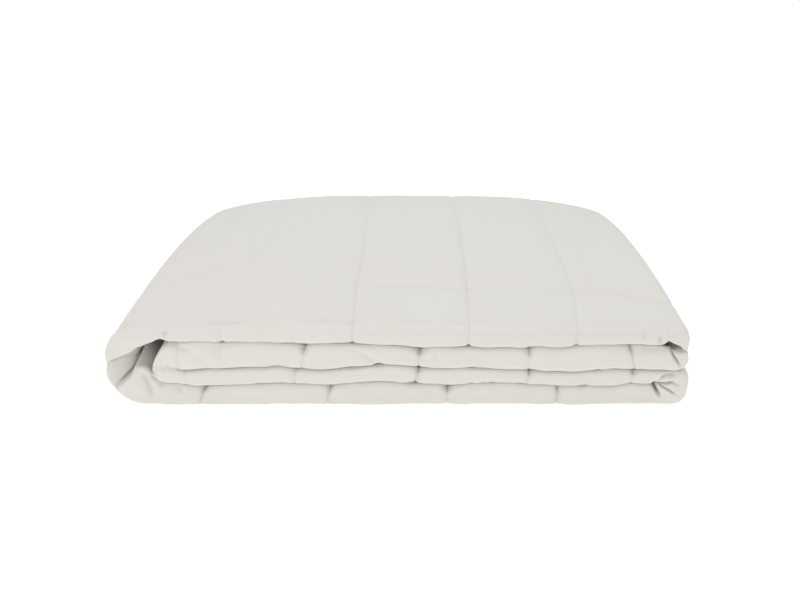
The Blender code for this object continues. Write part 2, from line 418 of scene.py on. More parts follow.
@dataclass(frozen=True)
class FoldPath:
    """The spiral that the band follows, seen from the front, as points (x, z).

    The track counts the path: the tip of the first end takes -1 to 0, run number n takes 2n to
    2n + 1, and turn number n takes 2n + 1 to 2n + 2.
    """

    levels: tuple[Level, ...] = LEVELS
    runs: tuple[Run, ...] = RUNS
    turns: tuple[Turn, ...] = TURNS
    lines: tuple[Line, ...] = LINES
    openings: tuple[Opening, ...] = OPENINGS
    gap: float = 0.6 * MM
    samples: int = 600
    tip_reach_outer: float = 15.0 * MM
    tip_reach_inner: float = 15.8 * MM
    tip_height_outer: float = 40.6 * MM
    tip_height_inner: float = 45.6 * MM
    tip_square_outer: float = 0.70
    tip_square_inner: float = 1.4

    def border(self, border: Border, side: int, x: Array) -> Array:
        """Height of one side of a border: a smooth line through the levels, half the gap, and openings.

        Args:
            border: which one.
            side: 1 for the face above it, and -1 for the face below it.
            x: places along the stack.

        Returns:
            Heights in metres.
        """
        if border is Border.FLOOR:
            return np.zeros_like(x)
        levels = np.array([getattr(row, border.value) for row in self.levels])
        height = smooth_line(x, np.array([row.x for row in self.levels]), levels)
        if border is Border.TOP:
            return height
        height = height + side * self.gap / 2
        for opening in self.openings:
            if opening.border is border:
                apart = (opening.up if side > 0 else -opening.down) * MM
                height += apart * bell(x / MM - opening.x, opening.reach)
        return height

    def height(self, run: Run, face: Face, x: Array) -> Array:
        """Height of one face of a layer.

        Args:
            run: the layer.
            face: which face of the band.
            x: places along the stack.

        Returns:
            Heights in metres.
        """
        if (face is Face.OUTER) == run.facing_up:
            return self.border(run.over, -1, x)
        return self.border(run.under, 1, x)

    def points(self, track: Array, face: Face) -> Array:
        """Points of one face: levels on the runs, half of a squared ellipse on the turns.

        Args:
            track: places on the path.
            face: which face of the band.

        Returns:
            An array of x and z, with the track's shape and a last axis of two.
        """
        x, z = np.zeros_like(track), np.zeros_like(track)
        for number, run in enumerate(self.runs):
            here = (track >= 2 * number) & (track <= 2 * number + 1)
            x[here] = run.start + (run.end - run.start) * (track[here] - 2 * number)
            z[here] = self.height(run, face, x[here])
        for number, turn in enumerate(self.turns):
            here = (track > 2 * number + 1) & (track < 2 * number + 2)
            angle = math.pi * (track[here] - 2 * number - 1)
            before, after = self.runs[number], self.runs[number + 1]
            corner = np.array([before.end])
            first, last = self.height(before, face, corner), self.height(after, face, corner)
            reach = getattr(turn, "reach_" + face.value)
            square = np.where(angle < math.pi / 2, turn.square_first, turn.square_last)
            square, sag = (square, 0.0) if face is Face.OUTER else (turn.square_inner, turn.sag)
            along = np.sign(np.cos(angle)) * np.abs(np.cos(angle)) ** square
            x[here] = before.end + reach * np.sin(angle) ** square
            z[here] = (first + last) / 2 + (first - last) / 2 * along
            z[here] += sag * np.sin(angle) ** turn.sag_power
        here = track < 0
        angle = -track[here] * math.pi / 2
        first = self.height(self.runs[0], face, np.array([self.runs[0].start]))
        sizes = (f"tip_{size}_{face.value}" for size in ("reach", "height", "square"))
        reach, height, square = (getattr(self, name) for name in sizes)
        x[here] = self.runs[0].start - reach * np.sin(angle) ** square
        z[here] = height + (first - height) * np.cos(angle) ** square
        return np.stack([x, z], axis=-1)

    def measured(self) -> tuple[Array, Array]:
        """Measures the path: short steps of each face, the longer of the two summed.

        Returns:
            Places on the track, and the length of the path up to each.
        """
        parts = 2 * len(self.runs)
        track = np.linspace(-1.0, parts - 1.0, self.samples * parts + 1)
        steps = [np.linalg.norm(np.diff(self.points(track, face), axis=0), axis=1) for face in Face]
        return track, np.concatenate([[0.0], np.cumsum(np.maximum(*steps))])

    def line_lengths(self) -> Array:
        """Finds each line of stitching on the measured path, at the middle of its lean.

        Returns:
            The length of the path up to each line.
        """
        track, length = self.measured()
        places = []
        for line in self.lines:
            if line.part is Part.RUN:
                places.append(2 * line.number + self.share(line.number, (line.upper + line.lower) / 2 * MM))
            else:
                places.append(2 * line.number + 1 + line.upper)
        return np.interp(places, track, length)

    def share(self, run: int, x: float) -> float:
        """Where an x lies on a run: 0 at its start and 1 at its end."""
        return (x - self.runs[run].start) / (self.runs[run].end - self.runs[run].start)

    def edges(self, track: Array) -> tuple[Array, Array]:
        """The two edges of the band: level on the runs, and evenly changing in the turns.

        Args:
            track: places on the path.

        Returns:
            Y of the front edge and of the back edge there.
        """
        knots = [value for number in range(len(self.runs)) for value in (2 * number, 2 * number + 1)]
        front = np.interp(track, knots, [run.front for run in self.runs for _ in range(2)])
        back = np.interp(track, knots, [run.back for run in self.runs for _ in range(2)])
        return front, back


# ---- how the stack settles --------------------------------------------------------------
@dataclass(frozen=True)
class Settling:
    """The stack under its own weight: crowned, lower, narrower and rounder at the back."""

    half_length: float = 0.250
    half_depth: float = 0.146
    crown: float = 0.0252
    front_droop: float = 0.0104
    front_power: int = 6
    back_droop: float = 0.0672
    back_power: int = 5
    corner_droop: float = 0.1987
    corner_power: int = 4
    left_droop: float = 0.0367
    side_power: int = 3
    taper: float = 0.0574
    taper_power: float = 1.46
    skew: float = 0.0052
    skew_power: float = 0.6
    left_taper: float = 0.0037
    corner_rounding: float = 0.0158
    rounding_power: int = 5
    centring: float = 0.0023

    def apply(self, points: Array) -> Array:
        """Moves nominal points to where they lie.

        The height is scaled by a crown that falls with the square of x, and by droops that
        grow with powers of the share of the depth. The back is narrower and skewed.

        Args:
            points: nominal places.

        Returns:
            The places where they lie.
        """
        x, y, z = points[..., 0], points[..., 1], np.maximum(points[..., 2], 0.0)
        across = x / self.half_length
        leftward = np.clip(-across, 0.0, None)
        back = np.clip((y + self.half_depth) / (2 * self.half_depth), 0.0, 1.0)
        height = 1.0 + self.crown * (1.0 - across ** 2) - self.front_droop * (1.0 - back) ** self.front_power
        height -= self.back_droop * back ** self.back_power
        sides = self.corner_droop * across ** self.corner_power + self.left_droop * leftward ** 2
        height -= sides * back ** self.side_power
        drawn_in = self.corner_rounding * np.abs(across) ** self.rounding_power * back ** self.side_power
        moved = x * (1.0 - self.taper * back ** self.taper_power) - self.centring
        moved += self.skew * back ** self.skew_power + self.left_taper * back * leftward
        return np.stack([moved, y - drawn_in, z * height], axis=-1)


# ---- the quilting -----------------------------------------------------------------------
class CrossCourse(NamedTuple):
    """Y and depth of the three cross seams at one place along the top layer."""

    x: float
    first: float
    second: float
    third: float
    first_depth: float
    second_depth: float
    third_depth: float


class LineCourse(NamedTuple):
    """A line of stitching on the outer face, at the front, the first two cross seams and the back.

    stray is how far it strays in x, in millimetres, and depth is its share of the full depth.
    """

    line: int
    front_stray: float
    first_stray: float
    second_stray: float
    back_stray: float
    front_depth: float
    first_depth: float
    second_depth: float
    back_depth: float


CROSS_COURSES = (
    CrossCourse(-0.220, -0.064, 0.005, 0.105, 0.30, 0.15, 0.20),
    CrossCourse(-0.185, -0.042, 0.013, 0.110, 0.30, 0.15, 0.25),
    CrossCourse(-0.148, -0.050, 0.022, 0.118, 0.20, 0.25, 0.30),
    CrossCourse(-0.099, -0.062, 0.034, 0.122, 0.12, 0.25, 0.30),
    CrossCourse(-0.050, -0.070, 0.031, 0.124, 0.25, 0.30, 0.30),
    CrossCourse(-0.034, -0.072, 0.030, 0.124, 0.85, 0.30, 0.30),
    CrossCourse(0.025, -0.075, 0.027, 0.123, 1.00, 0.30, 0.30),
    CrossCourse(0.060, -0.0785, 0.020, 0.120, 1.00, 0.35, 0.30),
    CrossCourse(0.107, -0.0787, 0.0145, 0.117, 0.85, 0.35, 0.30),
    CrossCourse(0.155, -0.0787, 0.009, 0.112, 1.00, 0.35, 0.30),
    CrossCourse(0.196, -0.084, 0.0085, 0.108, 0.95, 0.30, 0.25),
    CrossCourse(0.233, -0.098, 0.004, 0.100, 0.75, 0.20, 0.20),
)

LINE_COURSES = (
    LineCourse(6, 0.0, 7.0, 7.3, 8.1, 0.7, 0.6, 0.6, 0.4),
    LineCourse(7, 0.0, 1.5, 2.8, 0.3, 1.0, 1.0, 0.9, 0.6),
    LineCourse(8, 0.0, -2.1, -0.1, -3.1, 1.0, 0.9, 0.7, 0.4),
    LineCourse(9, 0.0, -2.1, 7.6, 4.2, 0.5, 0.3, 0.5, 0.3),
    LineCourse(15, 0.0, 0.0, 0.0, 0.0, 0.1, 0.7, 0.7, 0.7),
)


@dataclass(frozen=True)
class Quilting:
    """Square filled pockets, with the seams drawn in between them.

    Pockets are counted along the band: whole numbers are lines of stitching. Rows are
    counted across it: 0 is the front fold and 1, 2, 3 are the cross seams.
    """

    cross_courses: tuple[CrossCourse, ...] = CROSS_COURSES
    line_courses: tuple[LineCourse, ...] = LINE_COURSES
    valley_depth: float = 1.5 * MM
    valley_reach: float = 1.5 * MM
    valley_power: float = 1.5
    pillow_depth: float = 1.1 * MM
    pillow_reach: float = 10.0 * MM
    front_share: float = 0.6
    front_rows: float = 0.12
    cross_share: float = 0.8
    hidden_depth: float = 0.7
    hidden_uneven: float = 0.25
    pressed: float = 0.4
    pressed_level: tuple[float, float] = (-0.4, 0.8)
    default_rows: tuple[float, float, float] = (-0.077, 0.022, 0.122)
    stray: float = 2.2 * MM
    stray_rates: tuple[float, float] = (0.9, 3.7)
    depth_rates: tuple[float, float] = (1.3, 2.9)
    course_rows: tuple[float, ...] = (0.0, 1.0, 2.0, 3.2)
    cross_grain: float = 0.13
    row_pitch: float = 0.098
    last_row: float = 3.17
    top_middle: float = 2.5
    top_fade: tuple[float, float] = (0.62, 1.45)

    def valley(self, distance: Array) -> Array:
        """Depth of the cloth beside a seam: a sharp valley in a wide soft one.

        Args:
            distance: how far the points are from the seam.

        Returns:
            How far the cloth is drawn in there, in metres.
        """
        sharp = self.valley_depth * bell(distance, self.valley_reach, self.valley_power)
        soft = self.pillow_depth * bell(distance, self.pillow_reach)
        return sharp + soft

    def on_top(self, track: Array) -> Array:
        """1 on the top layer's outer face, fading to 0 in the turns at its two ends."""
        return 1.0 - smooth_step(np.abs(track - self.top_middle), *self.top_fade)

    def courses(self, lines: int, rows: Array) -> tuple[Array, Array]:
        """Courses of the lines of stitching: read off the photograph, or by soft noise elsewhere.

        Args:
            lines: number of lines.
            rows: row numbers where the courses are wanted.

        Returns:
            Strays in metres and shares of the full depth, both as arrays (row, line).
        """
        row, number = rows[:, None], np.arange(lines)[None, :]
        (stray_u, stray_v), (depth_u, depth_v) = self.stray_rates, self.depth_rates
        strays = self.stray * smooth_step(row, 0.0, 1.0)
        strays = strays * soft_noise(row * stray_u, number * stray_v, Seed.LINE_STRAY)
        uneven = soft_noise(row * depth_u, number * depth_v, Seed.LINE_DEPTH)
        depths = self.hidden_depth * (1.0 + self.hidden_uneven * uneven)
        knots = np.array(self.course_rows)
        for course in self.line_courses:
            strays[:, course.line] = smooth_line(rows, knots, np.array(course[1:5])) * MM
            depths[:, course.line] = smooth_line(rows, knots, np.array(course[5:9]))
        return strays, depths


# ---- wrinkles that show -----------------------------------------------------------------
class Crease(NamedTuple):
    """A crease along a bent line, in millimetres; a negative depth is a ridge.

    On the front the course is (x, z), and on the top it is (x, y).
    """

    depth: float
    width: float
    course: tuple[tuple[float, float], ...]


class Dent(NamedTuple):
    """A soft hollow, in millimetres and degrees; a negative depth is a swelling."""

    depth: float
    a: float
    b: float
    reach_a: float
    reach_b: float
    turn: float


class Facet(NamedTuple):
    """A flat hollow pressed into the front, in millimetres.

    Its corners go round counterclockwise as (x, z, depth), and rim is the width of its soft edge.
    """

    rim: float
    corners: tuple[tuple[float, float, float], ...]


class Swelling(NamedTuple):
    """A soft bulge round one place, in millimetres; a negative height is a hollow."""

    height: float
    x: float
    y: float
    z: float
    reach_x: float
    reach_y: float
    reach_z: float


class Shove(NamedTuple):
    """Cloth moved bodily round one place, in millimetres: a move, its middle and its reach.

    Only the part of the path between first and last, as on the track, is moved.
    """

    move_x: float
    move_y: float
    move_z: float
    x: float
    y: float
    z: float
    reach_x: float
    reach_y: float
    reach_z: float
    first: float
    last: float


LOOP_CREASES = (
    Crease(3.0, 1.3, ((-214.0, 62.0), (-222.9, 57.4), (-229.9, 53.8), (-239.0, 49.6), (-247.0, 46.2))),
    Crease(7.0, 1.1, ((-219.5, 60.0), (-222.8, 52.0), (-224.6, 44.6), (-227.2, 38.0), (-229.2, 34.2),
                      (-233.6, 30.0), (-244.5, 20.6))),
    Crease(3.0, 1.9, ((-219.5, 35.6), (-217.0, 30.7), (-215.5, 23.0), (-214.3, 17.6), (-215.4, 11.0))),
    Crease(-1.0, 2.6, ((-224.0, 30.5), (-222.8, 22.0), (-221.0, 14.0))),
    Crease(2.6, 1.5, ((-213.0, 33.0), (-211.5, 31.0), (-208.5, 29.4), (-205.6, 25.1), (-203.9, 19.7))),
    Crease(2.0, 1.4, ((-192.4, 22.6), (-187.7, 14.2))),
    Crease(0.8, 1.6, ((-236.0, 19.0), (-228.0, 12.5))),
    Crease(2.4, 1.2, ((-188.6, 87.0), (-189.9, 81.2), (-193.6, 73.8))),
    Crease(-0.8, 1.8, ((-185.6, 86.0), (-187.0, 78.0))),
)
TONGUE_CREASES = (
    Crease(-1.5, 1.1, ((-180.0, 40.8), (-188.0, 42.4), (-198.0, 43.6), (-207.0, 43.8))),
    Crease(0.9, 0.9, ((-190.0, 43.0), (-195.0, 44.4), (-198.6, 43.3), (-201.3, 39.5))),
    Crease(0.9, 0.9, ((-192.0, 39.5), (-196.5, 41.0), (-199.5, 37.0))),
    Crease(0.45, 0.7, ((-183.3, 62.0), (-185.0, 53.0), (-185.6, 45.8))),
    Crease(-0.35, 0.8, ((-180.9, 62.5), (-182.6, 53.0), (-183.2, 45.8))),
    Crease(2.2, 3.0, ((-192.0, 67.5), (-184.0, 65.0), (-174.0, 60.5))),
    Crease(1.0, 1.4, ((-172.0, 58.0), (-169.0, 52.0), (-163.0, 50.0))),
    Crease(-1.1, 1.4, ((-154.5, 60.5), (-152.5, 54.0), (-148.0, 50.0))),
    Crease(1.0, 1.4, ((-151.0, 62.0), (-148.5, 55.0))),
)
RIGHT_CREASES = (
    Crease(9.0, 1.1, ((226.0, 68.0), (231.4, 64.2), (238.2, 59.9))),
    Crease(5.5, 0.8, ((226.2, 66.4), (232.0, 56.0), (238.8, 46.4))),
    Crease(1.8, 0.8, ((237.0, 60.0), (249.5, 60.6))),
    Crease(2.4, 1.0, ((217.2, 69.0), (218.0, 75.8))),
    Crease(1.6, 1.6, ((203.3, 74.0), (206.6, 84.0))),
    Crease(-1.0, 1.8, ((200.6, 75.4), (203.3, 84.3))),
    Crease(1.1, 1.6, ((222.5, 82.0), (226.0, 77.0))),
    Crease(11.0, 1.0, ((220.6, 26.4), (223.0, 19.6), (228.2, 11.4))),
    Crease(4.5, 0.75, ((223.6, 26.6), (228.5, 21.8), (234.4, 18.4), (241.5, 13.4))),
    Crease(9.0, 0.8, ((224.2, 25.6), (231.0, 25.2), (237.0, 26.4))),
    Crease(3.4, 1.1, ((225.0, 30.2), (228.6, 34.2), (238.0, 35.8))),
    Crease(2.0, 0.9, ((235.0, 26.2), (243.6, 23.0))),
    Crease(-1.0, 1.8, ((229.0, 31.0), (239.0, 31.6))),
)
BAND_CREASES = (
    Crease(1.5, 1.7, ((-32.9, 59.6), (-23.5, 52.1), (-15.5, 45.6))),
    Crease(-0.7, 3.0, ((-25.0, 61.0), (-15.0, 54.0))),
    Crease(0.9, 1.8, ((31.4, 61.5), (33.6, 55.0), (34.0, 48.0))),
    Crease(0.6, 1.5, ((50.5, 39.5), (50.0, 32.0))),
    Crease(0.6, 2.0, ((-146.0, 22.0), (-149.0, 8.0))),
    Crease(-0.4, 1.8, ((-140.0, 22.0), (-143.0, 8.0))),
    Crease(0.5, 1.8, ((-124.0, 22.0), (-126.0, 8.0))),
    Crease(0.6, 2.0, ((-38.0, 23.0), (-36.0, 9.0))),
    Crease(-0.5, 2.0, ((-29.0, 24.0), (-28.0, 9.0))),
    Crease(0.9, 2.0, ((27.0, 23.5), (28.5, 8.0))),
    Crease(0.5, 1.6, ((64.0, 22.0), (62.0, 10.0))),
    Crease(0.5, 1.6, ((86.0, 22.5), (89.0, 12.0))),
    Crease(0.5, 2.0, ((-96.0, 64.0), (-94.0, 54.0))),
    Crease(0.5, 1.6, ((126.0, 61.0), (124.0, 52.0))),
    Crease(0.4, 1.6, ((62.0, 57.0), (70.0, 50.0))),
    Crease(0.9, 1.3, ((191.2, 66.0), (195.0, 61.3), (197.2, 55.3))),
)
TOP_CREASES = (
    Crease(0.8, 4.0, ((-222.0, -67.0), (-200.0, -49.0), (-183.0, -37.0))),
    Crease(0.35, 5.0, ((-198.0, -15.0), (-165.0, -7.0), (-130.0, -1.0))),
    Crease(0.4, 4.0, ((-230.0, -113.0), (-206.0, -100.0))),
)
TOP_DENTS = (
    Dent(0.8, -148.5, -66.0, 4.0, 8.0, 0.0),
    Dent(-0.8, 0.0, -36.0, 30.0, 20.0, 0.0),
    Dent(-0.8, 92.0, -40.0, 30.0, 20.0, 0.0),
    Dent(-0.7, 190.0, -60.0, 24.0, 18.0, 0.0),
    Dent(0.5, -117.0, -40.0, 22.0, 16.0, 20.0),
)
FRONT_DENTS = (
    Dent(3.0, -16.0, 45.0, 3.4, 1.8, 0.0),
    Dent(1.2, 212.0, 62.5, 18.0, 4.2, 0.0),
    Dent(1.2, -150.0, 64.5, 9.0, 3.0, 0.0),
)
FACETS = (
    Facet(1.6, ((-252.0, 46.5, 0.0), (-252.0, 16.0, 0.0), (-233.4, 28.6, 5.5), (-227.0, 34.6, 10.4),
                (-222.4, 44.8, 17.1), (-220.4, 52.8, 22.0), (-216.6, 62.0, 26.8))),
)
SWELLINGS = (
    Swelling(-1.0, 212.0, -137.0, 63.0, 20.0, 12.0, 3.6),
)
SHOVES = (
    Shove(4.5, 0.0, 0.0, -229.3, -150.0, 52.0, 9.0, 36.0, 13.0, 3.0, 4.1),
    Shove(0.0, 0.0, 18.0, -222.0, -110.0, 36.0, 8.5, 19.0, 10.0, 3.0, 4.1),
    Shove(0.0, 0.0, 6.0, -218.0, -146.0, 35.0, 8.0, 12.0, 8.0, 3.0, 4.1),
    Shove(-2.4, 0.0, 0.0, -250.0, -135.0, 33.0, 12.0, 60.0, 11.0, 3.0, 4.1),
    Shove(0.0, 0.0, -8.0, 229.5, -126.0, 64.0, 7.0, 14.0, 7.0, 0.9, 1.5),
    Shove(2.0, 0.0, 0.0, 247.0, -135.0, 50.0, 10.0, 60.0, 8.0, 1.0, 2.0),
)


@dataclass(frozen=True)
class Wrinkles:
    """How far each point of the cover lies below the smooth quilted form."""

    front_creases: tuple[Crease, ...] = LOOP_CREASES + TONGUE_CREASES + RIGHT_CREASES + BAND_CREASES
    front_dents: tuple[Dent, ...] = FRONT_DENTS
    facets: tuple[Facet, ...] = FACETS
    top_creases: tuple[Crease, ...] = TOP_CREASES
    top_dents: tuple[Dent, ...] = TOP_DENTS
    swellings: tuple[Swelling, ...] = SWELLINGS
    shoves: tuple[Shove, ...] = SHOVES
    front_from: float = -0.098
    front_full: float = -0.136
    top_facing: tuple[float, float] = (0.3, 0.9)
    top_height_mm: tuple[float, float] = (60.0, 72.0)
    crease_power: float = 1.6
    crease_ends: tuple[float, float] = (-0.12, 0.22)
    crease_widths: float = 4
    shove_in: float = 0.15
    shove_out: float = 0.1
    grain: float = 17.0 * MM
    grain_depth: float = 0.45 * MM
    ripple: float = 8.5 * MM
    ripple_length: float = 26.0 * MM
    ripple_depth: float = 0.40 * MM
    face_grain: float = 38.0 * MM
    face_depth: float = 0.45 * MM

    def _creases(self, depth: Array, a: Array, b: Array, creases: tuple[Crease, ...]) -> None:
        """Adds creases: a bell across the line, which runs out softly at both ends.

        Args:
            depth: depths in millimetres, which are added to.
            a: first coordinate of the points, in millimetres.
            b: second coordinate of the points.
            creases: the creases to add.
        """
        for crease in creases:
            corners, margin = np.array(crease.course), self.crease_widths * crease.width
            low, high = corners.min(0) - margin, corners.max(0) + margin
            near = (a > low[0]) & (a < high[0]) & (b > low[1]) & (b < high[1])
            gap, share = course_distance(a[near], b[near], crease.course)
            ends = smooth_step(np.minimum(share, 1.0 - share), *self.crease_ends)
            depth[near] += crease.depth * ends * bell(gap, crease.width, self.crease_power)

    @staticmethod
    def _dents(depth: Array, a: Array, b: Array, dents: tuple[Dent, ...]) -> None:
        """Adds dents: a bell over a turned ellipse.

        Args:
            depth: depths in millimetres, which are added to.
            a: first coordinate of the points, in millimetres.
            b: second coordinate of the points.
            dents: the dents to add.
        """
        for dent in dents:
            turn = math.radians(dent.turn)
            da, db = a - dent.a, b - dent.b
            along = (da * math.cos(turn) + db * math.sin(turn)) / dent.reach_a
            across = (db * math.cos(turn) - da * math.sin(turn)) / dent.reach_b
            depth += dent.depth * np.exp(-(along ** 2 + across ** 2))

    @staticmethod
    def _facet(x: Array, z: Array, facet: Facet) -> Array:
        """Depth of a flat hollow: a plane through its corners, ending in a soft rim inside them.

        Args:
            x: first coordinate of the points, in millimetres.
            z: second coordinate of the points.
            facet: the hollow.

        Returns:
            Its depth at each point, in millimetres.
        """
        corners = np.array(facet.corners)
        sides = np.column_stack([corners[:, :2], np.ones(len(corners))])
        plane = np.linalg.lstsq(sides, corners[:, 2], rcond=None)[0]
        inside = np.full(x.shape, np.inf)
        for start, stop in zip(corners[:, :2], np.roll(corners[:, :2], -1, axis=0)):
            way = (stop - start) / np.linalg.norm(stop - start)
            inside = np.minimum(inside, (z - start[1]) * way[0] - (x - start[0]) * way[1])
        return smooth_step(inside, 0.0, facet.rim) * np.maximum(plane[0] * x + plane[1] * z + plane[2], 0.0)

    def _swellings(self, x: Array, y: Array, z: Array) -> Array:
        """Height of the soft bulges: a bell in all three directions, all in millimetres.

        Args:
            x: first coordinate of the points.
            y: second coordinate of the points.
            z: third coordinate of the points.

        Returns:
            How far each point is raised.
        """
        height = np.zeros_like(x)
        for one in self.swellings:
            away = ((x - one.x) / one.reach_x) ** 2 + ((y - one.y) / one.reach_y) ** 2
            height += one.height * np.exp(-away - ((z - one.z) / one.reach_z) ** 2)
        return height

    def shoved(self, points: Array, track: Array) -> Array:
        """Cloth that is moved bodily: a bell in all three directions, on one part of the path.

        Args:
            points: places, in metres.
            track: the same points' places on the path.

        Returns:
            How far each point is moved, in metres.
        """
        move = np.zeros_like(points)
        for one in self.shoves:
            middle, reach = np.array(one[3:6]), np.array(one[6:9])
            away = sum(((points[..., axis] / MM - middle[axis]) / reach[axis]) ** 2 for axis in range(3))
            begun = smooth_step(track, one.first - self.shove_in, one.first)
            ended = smooth_step(track, one.last, one.last + self.shove_out)
            move += np.array(one[:3]) * MM * (np.exp(-away) * (begun * (1.0 - ended)))[..., None]
        return move

    def _at_front(self, points: Array) -> Array:
        """1 at the front edge and 0 behind it, with a soft step between."""
        return smooth_step(-points[..., 1], -self.front_from, -self.front_full)

    def pushed(self, points: Array) -> Array:
        """How far the front is pushed straight back by its creases, dents and hollows.

        Args:
            points: places, in metres.

        Returns:
            The push at each point, in metres.
        """
        x, z = points[..., 0] / MM, points[..., 2] / MM
        push = sum(self._facet(x, z, facet) for facet in self.facets)
        self._creases(push, x, z, self.front_creases)
        self._dents(push, x, z, self.front_dents)
        return push * MM * self._at_front(points)

    def depth(self, points: Array, normals: Array, length: Array, around: Array) -> Array:
        """Depth in metres at each point: the top's creases and dents, less bulges, plus soft noise.

        Args:
            points: nominal places.
            normals: outward normals there.
            length: places along the band.
            around: places round the band.

        Returns:
            How far each point goes against its normal.
        """
        x, y, z = points[..., 0] / MM, points[..., 1] / MM, points[..., 2] / MM
        top = np.zeros_like(x)
        self._creases(top, x, y, self.top_creases)
        self._dents(top, x, y, self.top_dents)
        top *= smooth_step(normals[..., 2], *self.top_facing) * smooth_step(z, *self.top_height_mm)
        edge = self.grain_depth * soft_noise(length / self.grain, around / self.grain, Seed.FRONT_GRAIN)
        edge += self.ripple_depth * soft_noise(length / self.ripple, around / self.ripple_length,
                                               Seed.FRONT_RIPPLE)
        edge *= self._at_front(points)
        face = self.face_depth * soft_noise(length / self.face_grain, around / self.face_grain,
                                            Seed.FACE_GRAIN)
        return (top - self._swellings(x, y, z)) * MM + edge + face


# ---- the skin of the blanket ------------------------------------------------------------
@dataclass(frozen=True)
class Edges:
    """The two rounded edges of the band, and what the seams do to them.

    Levels count the height on an edge, from 1 at the outer face to -1 at the inner one.
    """

    front_nose: float = 9.0 * MM
    back_nose: float = 8.0 * MM
    nose_half: float = 9.0 * MM
    nose_power: float = 4.6
    lip_power: float = 3.0
    back_power: float = 3.4
    lip_fade: tuple[float, float] = (0.5, 0.8)
    curl_middle: float = 3.2
    curl_fade: tuple[float, float] = (0.12, 0.4)
    curl_share: float = 1.7
    notch_level: tuple[float, float] = (0.15, 0.95)
    notch_reach_mm: float = 0.7
    notch_spread_mm: float = 1.7
    notch_rise: float = 0.7
    notch_power: float = 1.6
    notch_on_face: float = 0.7
    crease_reach: float = 0.9 * MM
    front_draw: float = 0.5
    back_draw: float = 0.6
    hem_levels: tuple[float, float] = (0.0, -0.5)
    hem_rows: tuple[float, float] = (3.0, 7.0)
    hem_width: float = 0.07
    hem_depth: float = 0.75
    hem_grain: float = 0.05
    hem_ragged: float = 1.3 * MM
    hem_short: float = 1.2 * MM

    def roundness(self, track: Array, level: Array, middle: float) -> Array:
        """How much rounder the front edge is: along the top layer's lip, and inside the left loop.

        Args:
            track: places on the path.
            level: levels of the ring's points.
            middle: the place of the top layer's middle on the track.

        Returns:
            0 for the usual edge and 1 for the rounder one; past that it is rounder still.
        """
        lip = (1.0 - smooth_step(np.abs(track - middle), *self.lip_fade)) * (level > 0.0)
        curl = (1.0 - smooth_step(np.abs(track - self.curl_middle), *self.curl_fade)) * (level < 0.0)
        return lip + self.curl_share * curl

    def notch(self, wedge: Array, level: Array, gap: Array) -> Array:
        """The notch of a line of stitching: wide and deep at one corner, and gone at the other.

        Args:
            wedge: its depth in metres; a negative one is at the lower corner.
            level: level of the points, up the edge.
            gap: how far the points are from the line.

        Returns:
            Depth of the notch.
        """
        corner = smooth_step(np.sign(wedge) * level, *self.notch_level)
        reach = (self.notch_reach_mm + self.notch_spread_mm * corner) * MM
        return np.abs(wedge) * corner ** self.notch_rise * bell(gap, reach, self.notch_power)

    def back_reach(self, level: Array, length: Array) -> Array:
        """Reach of the back edge: a fold of two plies beside the hems of the other two.

        Args:
            level: levels of the ring's points.
            length: places along the band.

        Returns:
            How far the back edge stands out behind the flat faces, in metres.
        """
        under_fold, between_hems = self.hem_levels
        grooves = sum(bell(level - at, self.hem_width) for at in self.hem_levels)
        noise_row = np.where(level > between_hems, *self.hem_rows)
        ragged = self.hem_ragged * soft_noise(length / self.hem_grain, noise_row, Seed.BACK_HEMS)
        hems = (level <= under_fold) * (ragged - self.hem_short)
        return self.back_nose * (1.0 - self.hem_depth * grooves) + hems


@dataclass(frozen=True)
class Ends:
    """The two ends of the band, where the hems of its four plies lie on each other.

    first_reach and last_reach are how far each end stands past its last full section.
    """

    first_reach: float = 1.6 * MM
    last_reach: float = 14.6 * MM
    power: float = 3.6
    corner: float = 0.8 * MM
    steps: int = 10
    slit: float = 0.03
    groove_levels: tuple[float, ...] = (-0.5, 0.0, 0.5)
    groove_width: float = 0.09
    groove_depth: float = 0.15
    uneven: float = 0.05
    uneven_rates: tuple[float, float] = (2.5, 3.1)

    def rounding(self, half: float) -> tuple[Array, Array]:
        """The stations past the last full section, from it outwards, on a squared ellipse.

        Args:
            half: half the band's thickness, which sets the spacing.

        Returns:
            The share of the thickness that is left at each, and how far out it stands.
        """
        height, out = spaced_superellipse(self.power, self.last_reach, half, 2 * self.steps + 1)
        return np.maximum(height[:self.steps + 1], self.slit), out[:self.steps + 1]

    def reach_share(self, level: Array, rows: Array) -> Array:
        """Share of the reach that each ply has: grooves between the hems, and a soft unevenness.

        Args:
            level: levels of the points, from 1 at the outer face to -1 at the inner one.
            rows: the same points' row numbers.

        Returns:
            The share, near 1.
        """
        grooves = sum(bell(level - at, self.groove_width) for at in self.groove_levels)
        ply = np.floor((level + 1.0) * 2.0)
        rate, ply_rate = self.uneven_rates
        uneven = self.uneven * soft_noise(rows * rate, ply * ply_rate, Seed.END_HEMS)
        return 1.0 - self.groove_depth * grooves + uneven


@dataclass(frozen=True)
class TurnStep:
    """How close the stations are in one turn or end: its middle on the track, and the step."""

    middle: float
    step: float


